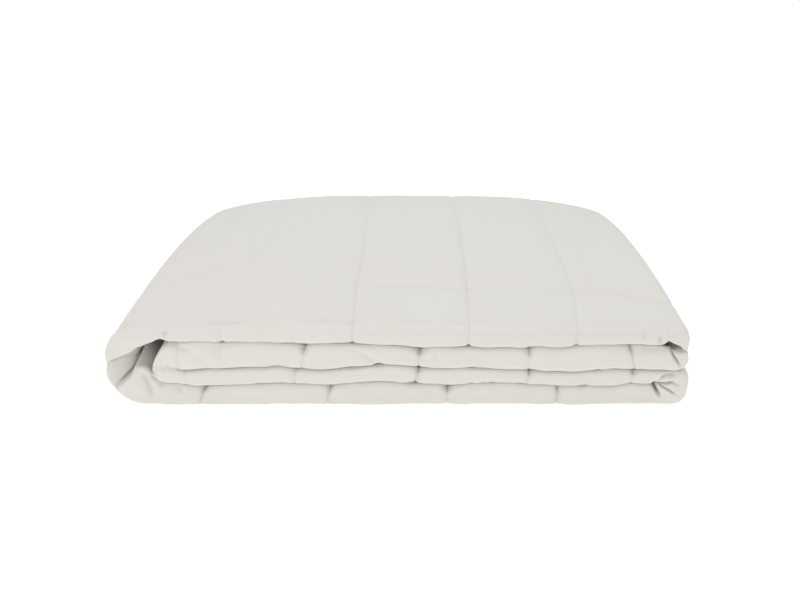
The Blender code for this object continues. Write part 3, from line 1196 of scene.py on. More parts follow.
@dataclass
class BlanketSkin:
    """Sizes of the cover's grid, and the parts that shape it.

    fine_places are creases that want close stations too, each as its run and its x.
    """

    path: FoldPath = field(default_factory=FoldPath)
    settling: Settling = field(default_factory=Settling)
    quilting: Quilting = field(default_factory=Quilting)
    wrinkles: Wrinkles = field(default_factory=Wrinkles)
    edges: Edges = field(default_factory=Edges)
    ends: Ends = field(default_factory=Ends)
    nose_steps: int = 37
    nose_crowding: float = 0.45
    back_steps: int = 9
    run_step: float = 3.8 * MM
    turn_steps: tuple[TurnStep, ...] = (
        TurnStep(1.5, 0.55 * MM), TurnStep(3.5, 1.0 * MM), TurnStep(5.5, 0.55 * MM),
        TurnStep(-0.5, 1.0 * MM), TurnStep(7.5, 1.4 * MM))
    turn_margin: float = 8.0 * MM
    seam_share: float = 0.74
    seam_margin: float = 3.2 * MM
    seam_step: float = 0.8 * MM
    measures: int = 16001
    first_pocket: float = -0.3
    last_short: float = 0.9
    row_near: tuple[float, ...] = (0.0, 1.3, 3.2, 7.5)
    row_step: float = 20.0 * MM
    inner_rows: tuple[float, ...] = (0.0, 0.04, 0.09, 0.15, 0.22, 0.31, 0.45, 0.7, 1.0, 1.5, 2.0, 2.5, 3.0)
    lean_rows: float = 0.7
    still_end: float = 0.02
    thinnest: float = 0.5
    fine_places: tuple[tuple[int, float], ...] = (
        (0, -0.183), (0, -0.171), (0, -0.152), (0, -0.024), (0, 0.033), (0, 0.195), (1, -0.190),
        (1, 0.218), (1, 0.204), (2, -0.190), (2, -0.204), (2, -0.124), (2, -0.145), (2, -0.037),
        (2, 0.028), (2, 0.088), (3, 0.050))

    def spacing(self, fine: Array, lines: Array, places: Array, lengths: Array) -> Array:
        """Distance wanted between stations: wide on the runs, close in the turns and at seams.

        Args:
            fine: lengths along the path where it is wanted.
            lines: the lengths up to the lines of stitching.
            places: places on the track.
            lengths: the length of the path up to each of them.

        Returns:
            The distance at each length.
        """
        spacing = np.full(fine.shape, self.run_step)
        for turn in self.turn_steps:
            low, high = np.interp([turn.middle - 0.5, turn.middle + 0.5], places, lengths)
            outside = np.maximum(np.maximum(low - fine, fine - high), 0.0)
            near = bell(outside, self.turn_margin)
            spacing = np.minimum(spacing, self.run_step + (turn.step - self.run_step) * near)
        creases = [2 * run + self.path.share(run, x) for run, x in self.fine_places]
        for mark in np.concatenate([lines, np.interp(creases, places, lengths)]):
            spacing = spacing * (1.0 - self.seam_share * bell(fine - mark, self.seam_margin)
                                 * (spacing - self.seam_step) / self.run_step)
        return spacing

    def stations(self) -> tuple[Array, Array, Array]:
        """Places of the cross sections, each one spacing on from the last.

        The nearest place to each line of stitching is then put on the line.

        Returns:
            Lengths along the path, the pocket number at each, and the lines' lengths.
        """
        lines = self.path.line_lengths()
        places, lengths = self.path.measured()
        total = lengths[-1]
        fine = np.linspace(0.0, total, self.measures)
        spacing = self.spacing(fine, lines, places, lengths)
        counted = np.concatenate([[0.0], np.cumsum(np.diff(fine) / ((spacing[1:] + spacing[:-1]) / 2))])
        length = np.interp(np.linspace(0.0, counted[-1], int(round(counted[-1])) + 1), counted, fine)
        length[np.abs(length[:, None] - lines[None, :]).argmin(axis=0)] = lines
        marks = np.concatenate([[0.0], lines, [total]])
        numbers = np.concatenate([[self.first_pocket], np.arange(len(lines)), [len(lines) - self.last_short]])
        return length, np.interp(length, marks, numbers), lines

    def row_numbers(self) -> Array:
        """Row numbers of the points on a flat face, close together beside each cross seam.

        Returns:
            The numbers, rising from 0 at the front edge.
        """
        last, pitch = self.quilting.last_row, self.quilting.row_pitch
        near = np.array(self.row_near) * MM / pitch
        edges = [0.0, *CROSS_ROWS, last]
        rows = [np.array([0.0, last])]
        for low, high in zip(edges[:-1], edges[1:]):
            start = low + (near[-1] if low > 0 else 0.0)
            stop = high - (near[-1] if high < last else 0.0)
            rows += [low + near * (low > 0), high - near * (high < last)]
            count = max(1, int(round((stop - start) * pitch / self.row_step)))
            rows.append(np.linspace(start, stop, count + 1))
        return np.unique(np.round(np.concatenate(rows), 5))


class SkinGrid:
    """The cover as one grid: a row for each station and a column for each ring point."""

    def __init__(self, skin: BlanketSkin) -> None:
        """Works out every array in order.

        Args:
            skin: the sizes and the parts that shape the cover.
        """
        self.skin = skin
        self._ring()
        self._stations()
        self._sections()
        self._rows_across()
        self._quilt()
        self._crease()

    def _ring(self) -> None:
        """Row number, level and reach of each ring point: outer face, back, inner face, front."""
        skin, edges = self.skin, self.skin.edges
        self.rows = skin.row_numbers()
        self.inner_rows = np.array([*skin.inner_rows, skin.quilting.last_row])
        self.row_count, self.nose_count, self.back_count = len(self.rows), skin.nose_steps, skin.back_steps
        nose = [spaced_superellipse(power, edges.front_nose, edges.nose_half, skin.nose_steps,
                                    skin.nose_crowding) for power in (edges.nose_power, edges.lip_power)]
        back_level, back_out = spaced_superellipse(
            edges.back_power, edges.back_nose, edges.nose_half, skin.back_steps)
        self.front_start = self.row_count + self.back_count + len(self.inner_rows)
        self.ring_count = self.front_start + self.nose_count
        self.ring_rows = np.concatenate([self.rows, self.rows[-1] * np.ones(self.back_count),
                                         self.inner_rows[::-1], np.zeros(self.nose_count)])
        outer, inner = np.ones(self.row_count), np.ones(len(self.inner_rows))
        self.level, self.lip_level = (
            np.concatenate([outer, back_level, -inner, height[::-1]]) for height, _ in nose)
        self.out, self.lip_out = (
            np.concatenate([0.0 * outer, back_out, 0.0 * inner, out[::-1]]) for _, out in nose)
        self.back = slice(self.row_count, self.row_count + self.back_count)
        self.front = slice(self.front_start, self.ring_count)

    def _stations(self) -> None:
        """Stations along the band, and at each end a few more that close it roundly.

        close is the share of the thickness that is left there, and beyond is how far they
        stand past the end.
        """
        ends = self.skin.ends
        length, pocket, self.lines = self.skin.stations()
        share, past = ends.rounding(self.skin.edges.nose_half)
        self.end_count = len(share)
        body, end = np.ones(len(length)), np.ones(self.end_count)
        self.close = np.concatenate([share[::-1], body, share])
        self.beyond = np.concatenate([past[::-1] * ends.first_reach, 0.0 * body, past * ends.last_reach])
        self.length = np.concatenate([length[0] * end, length, length[-1] * end])
        self.pocket = np.concatenate([pocket[0] * end, pocket, pocket[-1] * end])

    def _shifts(self, total: float) -> Array:
        """How far the lines' strays and leans shift each grid point along the band.

        Args:
            total: the path's length, since the shifts die out towards its two ends.

        Returns:
            The shifts in metres.
        """
        skin = self.skin
        strays, self.line_depths = skin.quilting.courses(len(self.lines), self.ring_rows)
        runs = [skin.path.runs[line.number] for line in skin.path.lines]
        heading = np.array([math.copysign(1.0, run.end - run.start) for run in runs])
        upward = np.array([1.0 if run.facing_up else -1.0 for run in runs])
        lean = np.array([(line.upper - line.lower) / 2 * MM for line in skin.path.lines])
        fading = 1.0 - smooth_step(self.ring_rows, 0.0, skin.lean_rows)
        shifts = heading * (strays + lean * upward * (self.level * fading)[:, None])
        numbers = np.arange(len(self.lines))
        shift = np.stack([np.interp(self.pocket, numbers, row) for row in shifts], axis=1)
        from_end = np.minimum(self.length, total - self.length)
        return shift * smooth_step(from_end, 0.0, skin.still_end)[:, None]

    def _sections(self) -> None:
        """Nominal middle, half thickness and direction across the band at every grid point."""
        skin, path = self.skin, self.skin.path
        places, lengths = path.measured()
        shift = self._shifts(lengths[-1])
        self.length_grid = np.clip(self.length[:, None] + shift, 0.0, lengths[-1])
        self.track = np.interp(self.length_grid, lengths, places)
        outer, inner = path.points(self.track, Face.OUTER), path.points(self.track, Face.INNER)
        self.middle = (outer + inner) / 2
        self.half = np.linalg.norm(outer - inner, axis=-1) / 2
        self.across = (outer - inner) / 2 / self.half[..., None]
        self.up = self.level * self.across[..., 1]
        self.away = np.zeros_like(self.middle)
        first, last = self.end_count, -self.end_count - 1
        ends = ((slice(0, first), first, first + 2), (slice(last + 1, None), last, last - 2))
        for end, station, inward in ends:
            way = self.middle[station] - self.middle[inward]
            self.away[end] = way / np.linalg.norm(way, axis=-1, keepdims=True)
        front, back = path.edges(self.track)
        corner = skin.ends.corner * (1.0 - self.close)[:, None]
        self.flat_front = front + skin.edges.front_nose + corner
        self.flat_back = back - skin.edges.back_nose - corner

    def _rows_across(self) -> None:
        """Y and depth of each grid point on the faces, from the courses of the cross seams."""
        x, quilting = self.middle[..., 0], self.skin.quilting
        knots = np.array([row.x for row in quilting.cross_courses])
        top = quilting.on_top(self.track)
        seams, depths = [], []
        for number, name in enumerate(("first", "second", "third")):
            course, share = (
                smooth_line(x, knots, np.array([getattr(row, key) for row in quilting.cross_courses]))
                for key in (name, name + "_depth"))
            wander = soft_noise(self.length_grid / quilting.cross_grain, number, Seed.CROSS_STRAY)
            wander = quilting.default_rows[number] + quilting.stray * wander
            seams.append(course * top + wander * (1.0 - top))
            depths.append(share * top + quilting.hidden_depth * (1.0 - top))
        values = np.stack([self.flat_front, *seams, self.flat_back], axis=-1)
        numbers = np.array([0.0, *CROSS_ROWS, quilting.last_row])
        piece = np.clip(np.searchsorted(numbers, self.ring_rows, side="right") - 1, 0, len(CROSS_ROWS))
        share = (self.ring_rows - numbers[piece]) / (numbers[piece + 1] - numbers[piece])
        columns = np.arange(self.ring_count)
        low, high = values[:, columns, piece], values[:, columns, piece + 1]
        self.y = low + (high - low) * share
        nearest = np.clip(np.round(self.ring_rows).astype(int), 1, len(CROSS_ROWS))
        self.cross_gap = np.abs(self.ring_rows - nearest) * quilting.row_pitch + 0.0 * self.half
        self.cross_depth = np.stack(depths, axis=-1)[:, columns, nearest - 1]

    def _quilt(self) -> None:
        """Draws the seams in on the faces and shapes the two rounded edges and the ends."""
        skin, quilting, edges = self.skin, self.skin.quilting, self.skin.edges
        nearest = np.clip(np.round(self.pocket), 0, len(self.lines) - 1).astype(int)
        gap = np.abs(self.length - self.lines[nearest])
        self.line_gap = gap[:, None] + 0.0 * self.half
        self.line_depth = self.line_depths[:, nearest].T
        wedge, crease = (np.array([getattr(line, key) for line in skin.path.lines])[nearest][:, None] * MM
                         for key in ("wedge", "crease"))
        on_face = smooth_step(self.ring_rows, 0.0, quilting.front_rows)
        share = quilting.front_share + (1.0 - quilting.front_share) * on_face
        at_line = self.line_depth * quilting.valley(self.line_gap) * share
        at_cross = quilting.cross_share * self.cross_depth * quilting.valley(self.cross_gap)
        pressed = quilting.pressed + (1.0 - quilting.pressed) * smooth_step(self.up, *quilting.pressed_level)
        notch = edges.notch(wedge, self.up, self.line_gap)
        dip = np.maximum(at_line, at_cross) * pressed + edges.notch_on_face * notch * (1.0 - on_face)
        dip = np.minimum(dip, skin.thinnest * self.half)
        round_share = edges.roundness(self.track, self.level, quilting.top_middle)
        level = self.level + round_share * (self.lip_level - self.level)
        out = self.out + round_share * (self.lip_out - self.out)
        close = self.close[:, None]
        past = self.beyond[:, None] * skin.ends.reach_share(self.level * close, self.ring_rows)
        offset = level * (self.half - dip) * close
        middle = self.middle + self.across * offset[..., None] + self.away * past[..., None]
        fine = crease * bell(self.line_gap, edges.crease_reach)
        reach_front = (edges.front_nose - edges.front_draw * at_line - notch - fine) * close ** 0.5
        reach_back = edges.back_reach(self.level[None, :], self.length_grid) * close ** 0.5
        reach_back -= edges.back_draw * at_line
        y = self.y.copy()
        y[:, self.front] = (self.flat_front - reach_front * out)[:, self.front]
        y[:, self.back] = (self.flat_back + reach_back * out)[:, self.back]
        self.nominal = np.stack([middle[..., 0], y, middle[..., 1]], axis=-1)

    @staticmethod
    def normals(points: Array) -> Array:
        """Outward unit normals of a grid: the cross product of the ways round it and along it.

        Args:
            points: the grid's points.

        Returns:
            A normal for each point, from the differences of its neighbours.
        """
        along = np.gradient(points, axis=0)
        around = np.roll(points, -1, axis=1) - np.roll(points, 1, axis=1)
        normal = np.cross(around, along)
        return normal / np.maximum(np.linalg.norm(normal, axis=-1, keepdims=True), 1e-12)

    def _crease(self) -> None:
        """Lays the wrinkles into the quilted form, then settles it."""
        wrinkles, normals = self.skin.wrinkles, self.normals(self.nominal)
        steps = np.linalg.norm(np.diff(self.nominal, axis=1, append=self.nominal[:, :1]), axis=-1)
        self.around = np.concatenate([[0.0], np.cumsum(np.median(steps, axis=0))])
        depth = wrinkles.depth(self.nominal, normals, self.length_grid, self.around[None, :-1])
        depth *= self.close[:, None]
        move = wrinkles.shoved(self.nominal, self.track)
        moved = self.nominal + move - normals * depth[..., None]
        moved[..., 1] += wrinkles.pushed(self.nominal + move)
        self.points = self.skin.settling.apply(moved)

    def _end_faces(self, base: int) -> list[tuple[int, ...]]:
        """Closes the slit at one end with faces that reach from its outer side to its inner one.

        Args:
            base: number of the first point of that end's ring.

        Returns:
            The faces, as numbers of points.
        """
        rows, back = self.row_count, self.back_count
        middle, ring = self.front_start + self.nose_count // 2, self.ring_count
        match = np.abs(self.rows[None, :] - self.inner_rows[:, None]).argmin(axis=1)
        outer = [*range(middle, ring), *match, *range(rows, rows + back // 2 + 1)]
        lower = [*range(middle, rows + back // 2 - 1, -1)]
        faces = []
        for start, stop, below, before in zip(outer[:-1], outer[1:], lower[1:], lower[:-1]):
            between = range(start + 1, stop) if stop < rows and start < rows else ()
            corners = [start, *between, stop, below, before]
            faces.append(tuple(base + int(corner) for corner in dict.fromkeys(corners)))
        return faces

    def mesh_object(self, name: str) -> bpy.types.Object:
        """Joins the grid and its two ends into one closed mesh with cloth coordinates.

        Args:
            name: the new object's name.

        Returns:
            The object, with the map "cloth" and the attributes "line_gap" and "cross_gap", in metres.
        """
        stations, size = self.points.shape[:2]
        index = np.arange(stations * size).reshape(stations, size)
        following = np.roll(index, -1, axis=1)
        walls = np.stack([index[:-1], following[:-1], following[1:], index[1:]], axis=-1).reshape(-1, 4)
        ends = [face[::-1] for face in self._end_faces(0)] + self._end_faces((stations - 1) * size)
        cover = new_object(name, self.points.reshape(-1, 3), walls.tolist() + ends)
        self._cloth_map(cover.data, len(walls))
        for key, gaps in (("line_gap", self.line_gap), ("cross_gap", self.cross_gap)):
            attribute = cover.data.attributes.new(key, "FLOAT", "POINT")
            attribute.data.foreach_set("value", gaps.ravel().astype(np.float32))
        return cover

    def _cloth_map(self, mesh: bpy.types.Mesh, wall_count: int) -> None:
        """Writes cloth coordinates in metres: along the band, and round it, without a break.

        Args:
            mesh: the cover's mesh.
            wall_count: number of its faces between stations, which come first.
        """
        along = self.length_grid + self.beyond[:, None] * np.sign(self.length[:, None] - 0.5)
        after, around = np.roll(along, -1, axis=1), self.around
        u = np.stack([along[:-1], after[:-1], after[1:], along[1:]], axis=-1)
        v = np.stack([around[:-1], around[1:], around[1:], around[:-1]], axis=-1)
        walls = np.stack([u, np.broadcast_to(v, u.shape)], axis=-1).reshape(-1, 2)
        values = np.zeros((len(mesh.loops), 2), np.float32)
        values[:4 * wall_count] = walls
        layer = mesh.uv_layers.new(name="cloth")
        layer.data.foreach_set("uv", values.ravel())


# ---- the stitching ----------------------------------------------------------------------
@dataclass(frozen=True)
class Stitching:
    """The stitches of every seam that shows, each a slim eight-sided grain of thread."""

    pitch: float = 3.2 * MM
    half_length: float = 1.2 * MM
    half_width: float = 0.24 * MM
    half_height: float = 0.2 * MM
    lift: float = 0.1 * MM
    sunk: float = 0.34 * MM
    shown: tuple[tuple[float, float], ...] = ((0.97, 4.0), (5.0, 6.0))

    def along(self, course: Array, normals: Array, depth: Array) -> Array:
        """Places stitches along one seam, at even lengths; where it is shallow they sink into the cloth.

        Args:
            course: points of the seam.
            normals: the cloth's normals there.
            depth: the seam's share of the full depth there.

        Returns:
            An array (stitch, 3, 3): middle, way along the seam and normal of each stitch.
        """
        lift = self.lift - self.sunk * (1.0 - np.minimum(depth, 1.0))
        course = course + normals * lift[:, None]
        steps = np.linalg.norm(np.diff(course, axis=0), axis=1)
        length = np.concatenate([[0.0], np.cumsum(steps)])
        at = np.arange(self.pitch / 2, length[-1], self.pitch)
        ways = np.gradient(course, axis=0)
        columns = np.concatenate([course, ways, normals], axis=1)
        found = np.stack([np.interp(at, length, column) for column in columns.T], axis=1).reshape(-1, 3, 3)
        found[:, 1:] /= np.linalg.norm(found[:, 1:], axis=-1, keepdims=True)
        return found

    def seams(self, grid: SkinGrid) -> Array:
        """The stitches of all seams.

        A line of stitching shows on the front edge, and also on the outer face where that
        face is outside the stack. A cross seam shows only on that face.

        Args:
            grid: the cover that they are sewn into.

        Returns:
            An array (stitch, 3, 3), as along makes it.
        """
        normals = grid.normals(grid.points)
        middle = grid.track[:, grid.front_start + grid.nose_count // 2]
        outside = sum(((middle > low) & (middle < high)) * 1 for low, high in self.shown) > 0
        edge = np.arange(grid.front_start, grid.ring_count)
        face = np.arange(grid.row_count)
        found = []
        for line in grid.lines:
            station = np.abs(grid.length - line).argmin()
            columns = np.concatenate([edge, face]) if outside[station] else edge
            found.append(self.along(grid.points[station, columns], normals[station, columns],
                                    grid.line_depth[station, columns]))
        for row in CROSS_ROWS:
            column = np.abs(grid.rows - row).argmin()
            for low, high in self.shown:
                part = (grid.track[:, column] > low) & (grid.track[:, column] < high) & (grid.close == 1.0)
                found.append(self.along(grid.points[part, column], normals[part, column],
                                        grid.cross_depth[part, column]))
        return np.concatenate(found)

    def mesh_object(self, name: str, grid: SkinGrid) -> bpy.types.Object:
        """Joins the stitches into one mesh; each has six points and eight faces.

        Args:
            name: the new object's name.
            grid: the cover that they are sewn into.

        Returns:
            The object.
        """
        stitches = self.seams(grid)
        middle, way, normal = stitches[:, 0], stitches[:, 1], stitches[:, 2]
        side = np.cross(normal, way)
        half = (way * self.half_length, side * self.half_width, normal * self.half_height)
        arms = np.stack([sign * arm for arm in half for sign in (1.0, -1.0)], axis=1)
        points = middle[:, None] + arms
        one = np.array([(0, 2, 4), (2, 1, 4), (1, 3, 4), (3, 0, 4),
                        (2, 0, 5), (1, 2, 5), (3, 1, 5), (0, 3, 5)])
        faces = (one[None] + arms.shape[1] * np.arange(len(points))[:, None, None]).reshape(-1, 3)
        return new_object(name, points.reshape(-1, 3), faces.tolist())


# ---- effects that the finishes share ----------------------------------------------------
class NodeKit:
    """Makes and joins the nodes of one tree."""

    def __init__(self, tree: bpy.types.NodeTree) -> None:
        """Keeps the tree that the nodes go into.

        Args:
            tree: the tree of a material or of a group.
        """
        self.tree = tree

    def fill(self, socket: bpy.types.NodeSocket, value: object) -> None:
        """Sets an input, or links it.

        Args:
            socket: the input.
            value: what it is set to, or an output to link it to.
        """
        if isinstance(value, bpy.types.NodeSocket):
            self.tree.links.new(value, socket)
        else:
            socket.default_value = value

    def node(self, kind: str, **inputs: object) -> bpy.types.Node:
        """Adds a node and fills its inputs.

        Args:
            kind: the node's type.
            **inputs: values or outputs for its named inputs, with _ for a space.

        Returns:
            The node.
        """
        node = self.tree.nodes.new(kind)
        for name, value in inputs.items():
            self.fill(node.inputs[name.replace("_", " ")], value)
        return node

    def group(self, group: bpy.types.NodeTree, **inputs: object) -> bpy.types.Node:
        """Adds a shared group and fills its inputs.

        Args:
            group: the group.
            **inputs: values or outputs for its named inputs, with _ for a space.

        Returns:
            The group's node.
        """
        node = self.tree.nodes.new("ShaderNodeGroup")
        node.node_tree = group
        for name, value in inputs.items():
            self.fill(node.inputs[name.replace("_", " ")], value)
        return node

    def math(self, operation: str, *values: object, clamp: bool = False) -> bpy.types.NodeSocket:
        """Adds a math node.

        Args:
            operation: what it does.
            *values: one to three values or outputs.
            clamp: whether the result is kept from 0 to 1.

        Returns:
            Its output.
        """
        node = self.tree.nodes.new("ShaderNodeMath")
        node.operation, node.use_clamp = operation, clamp
        for socket, value in zip(node.inputs, values):
            self.fill(socket, value)
        return node.outputs[0]

    def noise(self, vector: bpy.types.NodeSocket, scale: tuple[float, float, float],
              detail: float = 2.0) -> bpy.types.NodeSocket:
        """Adds stretched noise.

        Args:
            vector: the coordinates.
            scale: grains to the metre along each of them.
            detail: number of finer layers.

        Returns:
            An output from about -0.5 to 0.5.
        """
        mapping = self.node("ShaderNodeMapping", Vector=vector, Scale=scale)
        noise = self.node("ShaderNodeTexNoise", Vector=mapping.outputs[0], Scale=1.0, Detail=detail)
        return self.math("SUBTRACT", noise.outputs[0], 0.5)

    def blend(self, share: bpy.types.NodeSocket, first: tuple, second: tuple) -> bpy.types.NodeSocket:
        """Adds a colour mix.

        Args:
            share: the share of the second colour.
            first: the first colour.
            second: the second colour.

        Returns:
            The mixed colour's output.
        """
        mix = self.tree.nodes.new("ShaderNodeMix")
        mix.data_type = "RGBA"
        factor, first_colour, second_colour = (mix.inputs[number] for number in (0, 6, 7))
        self.fill(factor, share)
        self.fill(first_colour, (*first, 1.0))
        self.fill(second_colour, (*second, 1.0))
        return mix.outputs[2]


def new_group(name: str, inputs: dict[str, float | None], outputs: tuple[str, ...]) -> tuple:
    """Starts a node group.

    Args:
        name: the group's name.
        inputs: names of its inputs; None makes a vector, and a number a float with that value.
        outputs: names of its outputs, all floats.

    Returns:
        A kit for its tree, its input node and its output node.
    """
    group = bpy.data.node_groups.new(name, "ShaderNodeTree")
    for key, value in inputs.items():
        kind = "NodeSocketVector" if value is None else "NodeSocketFloat"
        socket = group.interface.new_socket(key, in_out="INPUT", socket_type=kind)
        if value is not None:
            socket.default_value = value
    for key in outputs:
        group.interface.new_socket(key, in_out="OUTPUT", socket_type="NodeSocketFloat")
    return NodeKit(group), group.nodes.new("NodeGroupInput"), group.nodes.new("NodeGroupOutput")


@dataclass(frozen=True)
class PlainWeave:
    """Plain weave with wandering, uneven yarns. Rates are grains to the metre."""

    wander_rate: float = 70.0
    wander: float = 5.0
    crossing: float = 2.0
    slub_across: float = 900.0
    slub_along: float = 60.0

    def group(self) -> bpy.types.NodeTree:
        """Builds the weave from cloth coordinates in metres.

        Where the product of two half-rate sines is positive the warp lies on top, else the
        weft; each yarn is a cosine ridge. Slubs are long narrow noise along both yarns.

        Returns:
            A group with the outputs Height and Tone.
        """
        inputs = {"Cloth": None, "Pitch": 0.0005, "Yarn": 0.5, "Slub": 1.6}
        kit, inside, outside = new_group("plain weave", inputs, ("Height", "Tone"))
        cloth = inside.outputs["Cloth"]
        split = kit.node("ShaderNodeSeparateXYZ", Vector=cloth)
        loose = kit.noise(cloth, (self.wander_rate, self.wander_rate, 1.0))
        wander = kit.math("MULTIPLY", loose, self.wander)
        u, v = (kit.math("ADD", kit.math("DIVIDE", split.outputs[axis], inside.outputs["Pitch"]), wander)
                for axis in ("X", "Y"))
        warp, weft = (kit.math("COSINE", kit.math("MULTIPLY", place, 2 * math.pi)) for place in (u, v))
        halves = (kit.math("SINE", kit.math("MULTIPLY", place, math.pi)) for place in (u, v))
        over = kit.math("MULTIPLY_ADD", kit.math("MULTIPLY", *halves), self.crossing, 0.5, clamp=True)
        rising = kit.math("MULTIPLY", kit.math("SUBTRACT", weft, warp), over)
        ridge = kit.math("SUBTRACT", rising, weft)
        slubs = kit.math("ADD", kit.noise(cloth, (self.slub_across, self.slub_along, 1.0)),
                         kit.noise(cloth, (self.slub_along, self.slub_across, 1.0)))
        yarn = kit.math("MULTIPLY", ridge, inside.outputs["Yarn"])
        kit.fill(outside.inputs["Height"], kit.math("MULTIPLY_ADD", slubs, inside.outputs["Slub"], yarn))
        kit.fill(outside.inputs["Tone"], slubs)
        return kit.tree


@dataclass(frozen=True)
class SeamPuckers:
    """Small gathers that run out from the seams. Rates are grains to the metre."""

    out_rate: float = 70.0
    seam_rate: float = 330.0
    detail: float = 1.0

    def group(self) -> bpy.types.NodeTree:
        """Builds the gathers from cloth coordinates and the gaps to the two kinds of seams, in metres.

        They are noise that is long away from the seam and short along it, and it dies out with
        the gap in a falling exponential.

        Returns:
            A group with the output Height.
        """
        inputs = {"Cloth": None, "Line Gap": 1.0, "Cross Gap": 1.0, "Reach": 0.007}
        kit, inside, outside = new_group("seam puckers", inputs, ("Height",))
        parts = []
        for gap, scale in (("Line Gap", (self.out_rate, self.seam_rate, 1.0)),
                           ("Cross Gap", (self.seam_rate, self.out_rate, 1.0))):
            near = kit.math("DIVIDE", inside.outputs[gap], inside.outputs["Reach"])
            fading = kit.math("POWER", math.e, kit.math("MULTIPLY", near, -1.0))
            gathers = kit.noise(inside.outputs["Cloth"], scale, self.detail)
            parts.append(kit.math("MULTIPLY", gathers, fading))
        kit.fill(outside.inputs["Height"], kit.math("ADD", *parts))
        return kit.tree


@dataclass(frozen=True)
class ToneDrift:
    """Slow drift of tone over a surface."""

    contrast: float = 1.6
    detail: float = 3.0

    def group(self) -> bpy.types.NodeTree:
        """Builds the drift from any coordinates in metres: one noise, stretched and clamped.

        Returns:
            A group with the output Tone, from 0 to 1.
        """
        kit, inside, outside = new_group("tone drift", {"Place": None, "Rate": 9.0}, ("Tone",))
        scaled = kit.node("ShaderNodeVectorMath", Vector=inside.outputs["Place"])
        scaled.operation = "SCALE"
        kit.fill(scaled.inputs["Scale"], inside.outputs["Rate"])
        drift = kit.noise(scaled.outputs[0], (1.0, 1.0, 1.0), self.detail)
        kit.fill(outside.inputs["Tone"], kit.math("MULTIPLY_ADD", drift, self.contrast, 0.5, clamp=True))
        return kit.tree


@dataclass(frozen=True)
class Effects:
    """The node groups that the finishes share."""

    weave: bpy.types.NodeTree
    puckers: bpy.types.NodeTree
    drift: bpy.types.NodeTree

    @classmethod
    def made(cls) -> "Effects":
        """Makes the three groups."""
        return cls(PlainWeave().group(), SeamPuckers().group(), ToneDrift().group())


# ---- finishes ---------------------------------------------------------------------------
def new_finish(name: str, roughness: float,
               specular: float | None = None) -> tuple[bpy.types.Material, NodeKit, bpy.types.Node]:
    """Starts a material.

    Args:
        name: the material's name.
        roughness: its roughness.
        specular: its specular level, where it isn't the usual one.

    Returns:
        The material, a kit for its tree, and its Principled shader.
    """
    material = bpy.data.materials.new(name)
    material.use_nodes = True
    shader = material.node_tree.nodes["Principled BSDF"]
    shader.inputs["Roughness"].default_value = roughness
    if specular is not None:
        shader.inputs["Specular IOR Level"].default_value = specular
    return material, NodeKit(material.node_tree), shader


@dataclass(frozen=True)
class CoverCloth:
    """Light warm grey cotton cover: matte, with uneven yarns and small puckers at the seams."""

    colour: tuple[float, float, float] = (0.684, 0.673, 0.643)
    shade: tuple[float, float, float] = (0.635, 0.620, 0.588)
    roughness: float = 0.9
    sheen: float = 0.15
    specular: float = 0.3
    weave_pitch: float = 0.5 * MM
    weave_height: float = 0.05 * MM
    weave_strength: float = 0.4
    pucker_height: float = 0.8 * MM
    pucker_strength: float = 0.8
    slub_share: float = 0.5
    drift_share: float = 0.35

    def material(self, effects: Effects) -> bpy.types.Material:
        """Builds the cloth: slubs and drift mix two colours, and puckers and yarns are bumps.

        Args:
            effects: the shared groups.

        Returns:
            The material. It reads the map "cloth" and the attributes "line_gap" and "cross_gap".
        """
        material, kit, shader = new_finish("cover cotton", self.roughness, self.specular)
        kit.fill(shader.inputs["Sheen Weight"], self.sheen)
        cloth = kit.node("ShaderNodeUVMap")
        cloth.uv_map = "cloth"
        place = cloth.outputs["UV"]
        gaps = {}
        for socket, name in (("Line_Gap", "line_gap"), ("Cross_Gap", "cross_gap")):
            gap = kit.node("ShaderNodeAttribute")
            gap.attribute_name = name
            gaps[socket] = gap.outputs["Fac"]
        weave = kit.group(effects.weave, Cloth=place, Pitch=self.weave_pitch)
        puckers = kit.group(effects.puckers, Cloth=place, **gaps)
        drift = kit.group(effects.drift, Place=place)
        slubs = kit.math("MULTIPLY", weave.outputs["Tone"], self.slub_share)
        tone = kit.math("MULTIPLY_ADD", drift.outputs["Tone"], self.drift_share, slubs, clamp=True)
        kit.fill(shader.inputs["Base Color"], kit.blend(tone, self.colour, self.shade))
        gathers = kit.node("ShaderNodeBump", Height=puckers.outputs["Height"],
                           Strength=self.pucker_strength, Distance=self.pucker_height)
        yarns = kit.node("ShaderNodeBump", Height=weave.outputs["Height"], Normal=gathers.outputs[0],
                         Strength=self.weave_strength, Distance=self.weave_height)
        kit.fill(shader.inputs["Normal"], yarns.outputs[0])
        return material


@dataclass(frozen=True)
class Thread:
    """Cotton thread in the cover's colour, a little darker."""

    colour: tuple[float, float, float] = (0.62, 0.605, 0.575)
    shade: tuple[float, float, float] = (0.54, 0.525, 0.49)
    roughness: float = 0.75
    rate: float = 40.0

    def material(self, effects: Effects) -> bpy.types.Material:
        """Builds the thread: a drift of tone mixes its two colours.

        Args:
            effects: the shared groups.

        Returns:
            The material. It reads Object coordinates.
        """
        material, kit, shader = new_finish("sewing thread", self.roughness)
        place = kit.node("ShaderNodeTexCoord")
        drift = kit.group(effects.drift, Place=place.outputs["Object"], Rate=self.rate)
        kit.fill(shader.inputs["Base Color"], kit.blend(drift.outputs["Tone"], self.colour, self.shade))
        return material


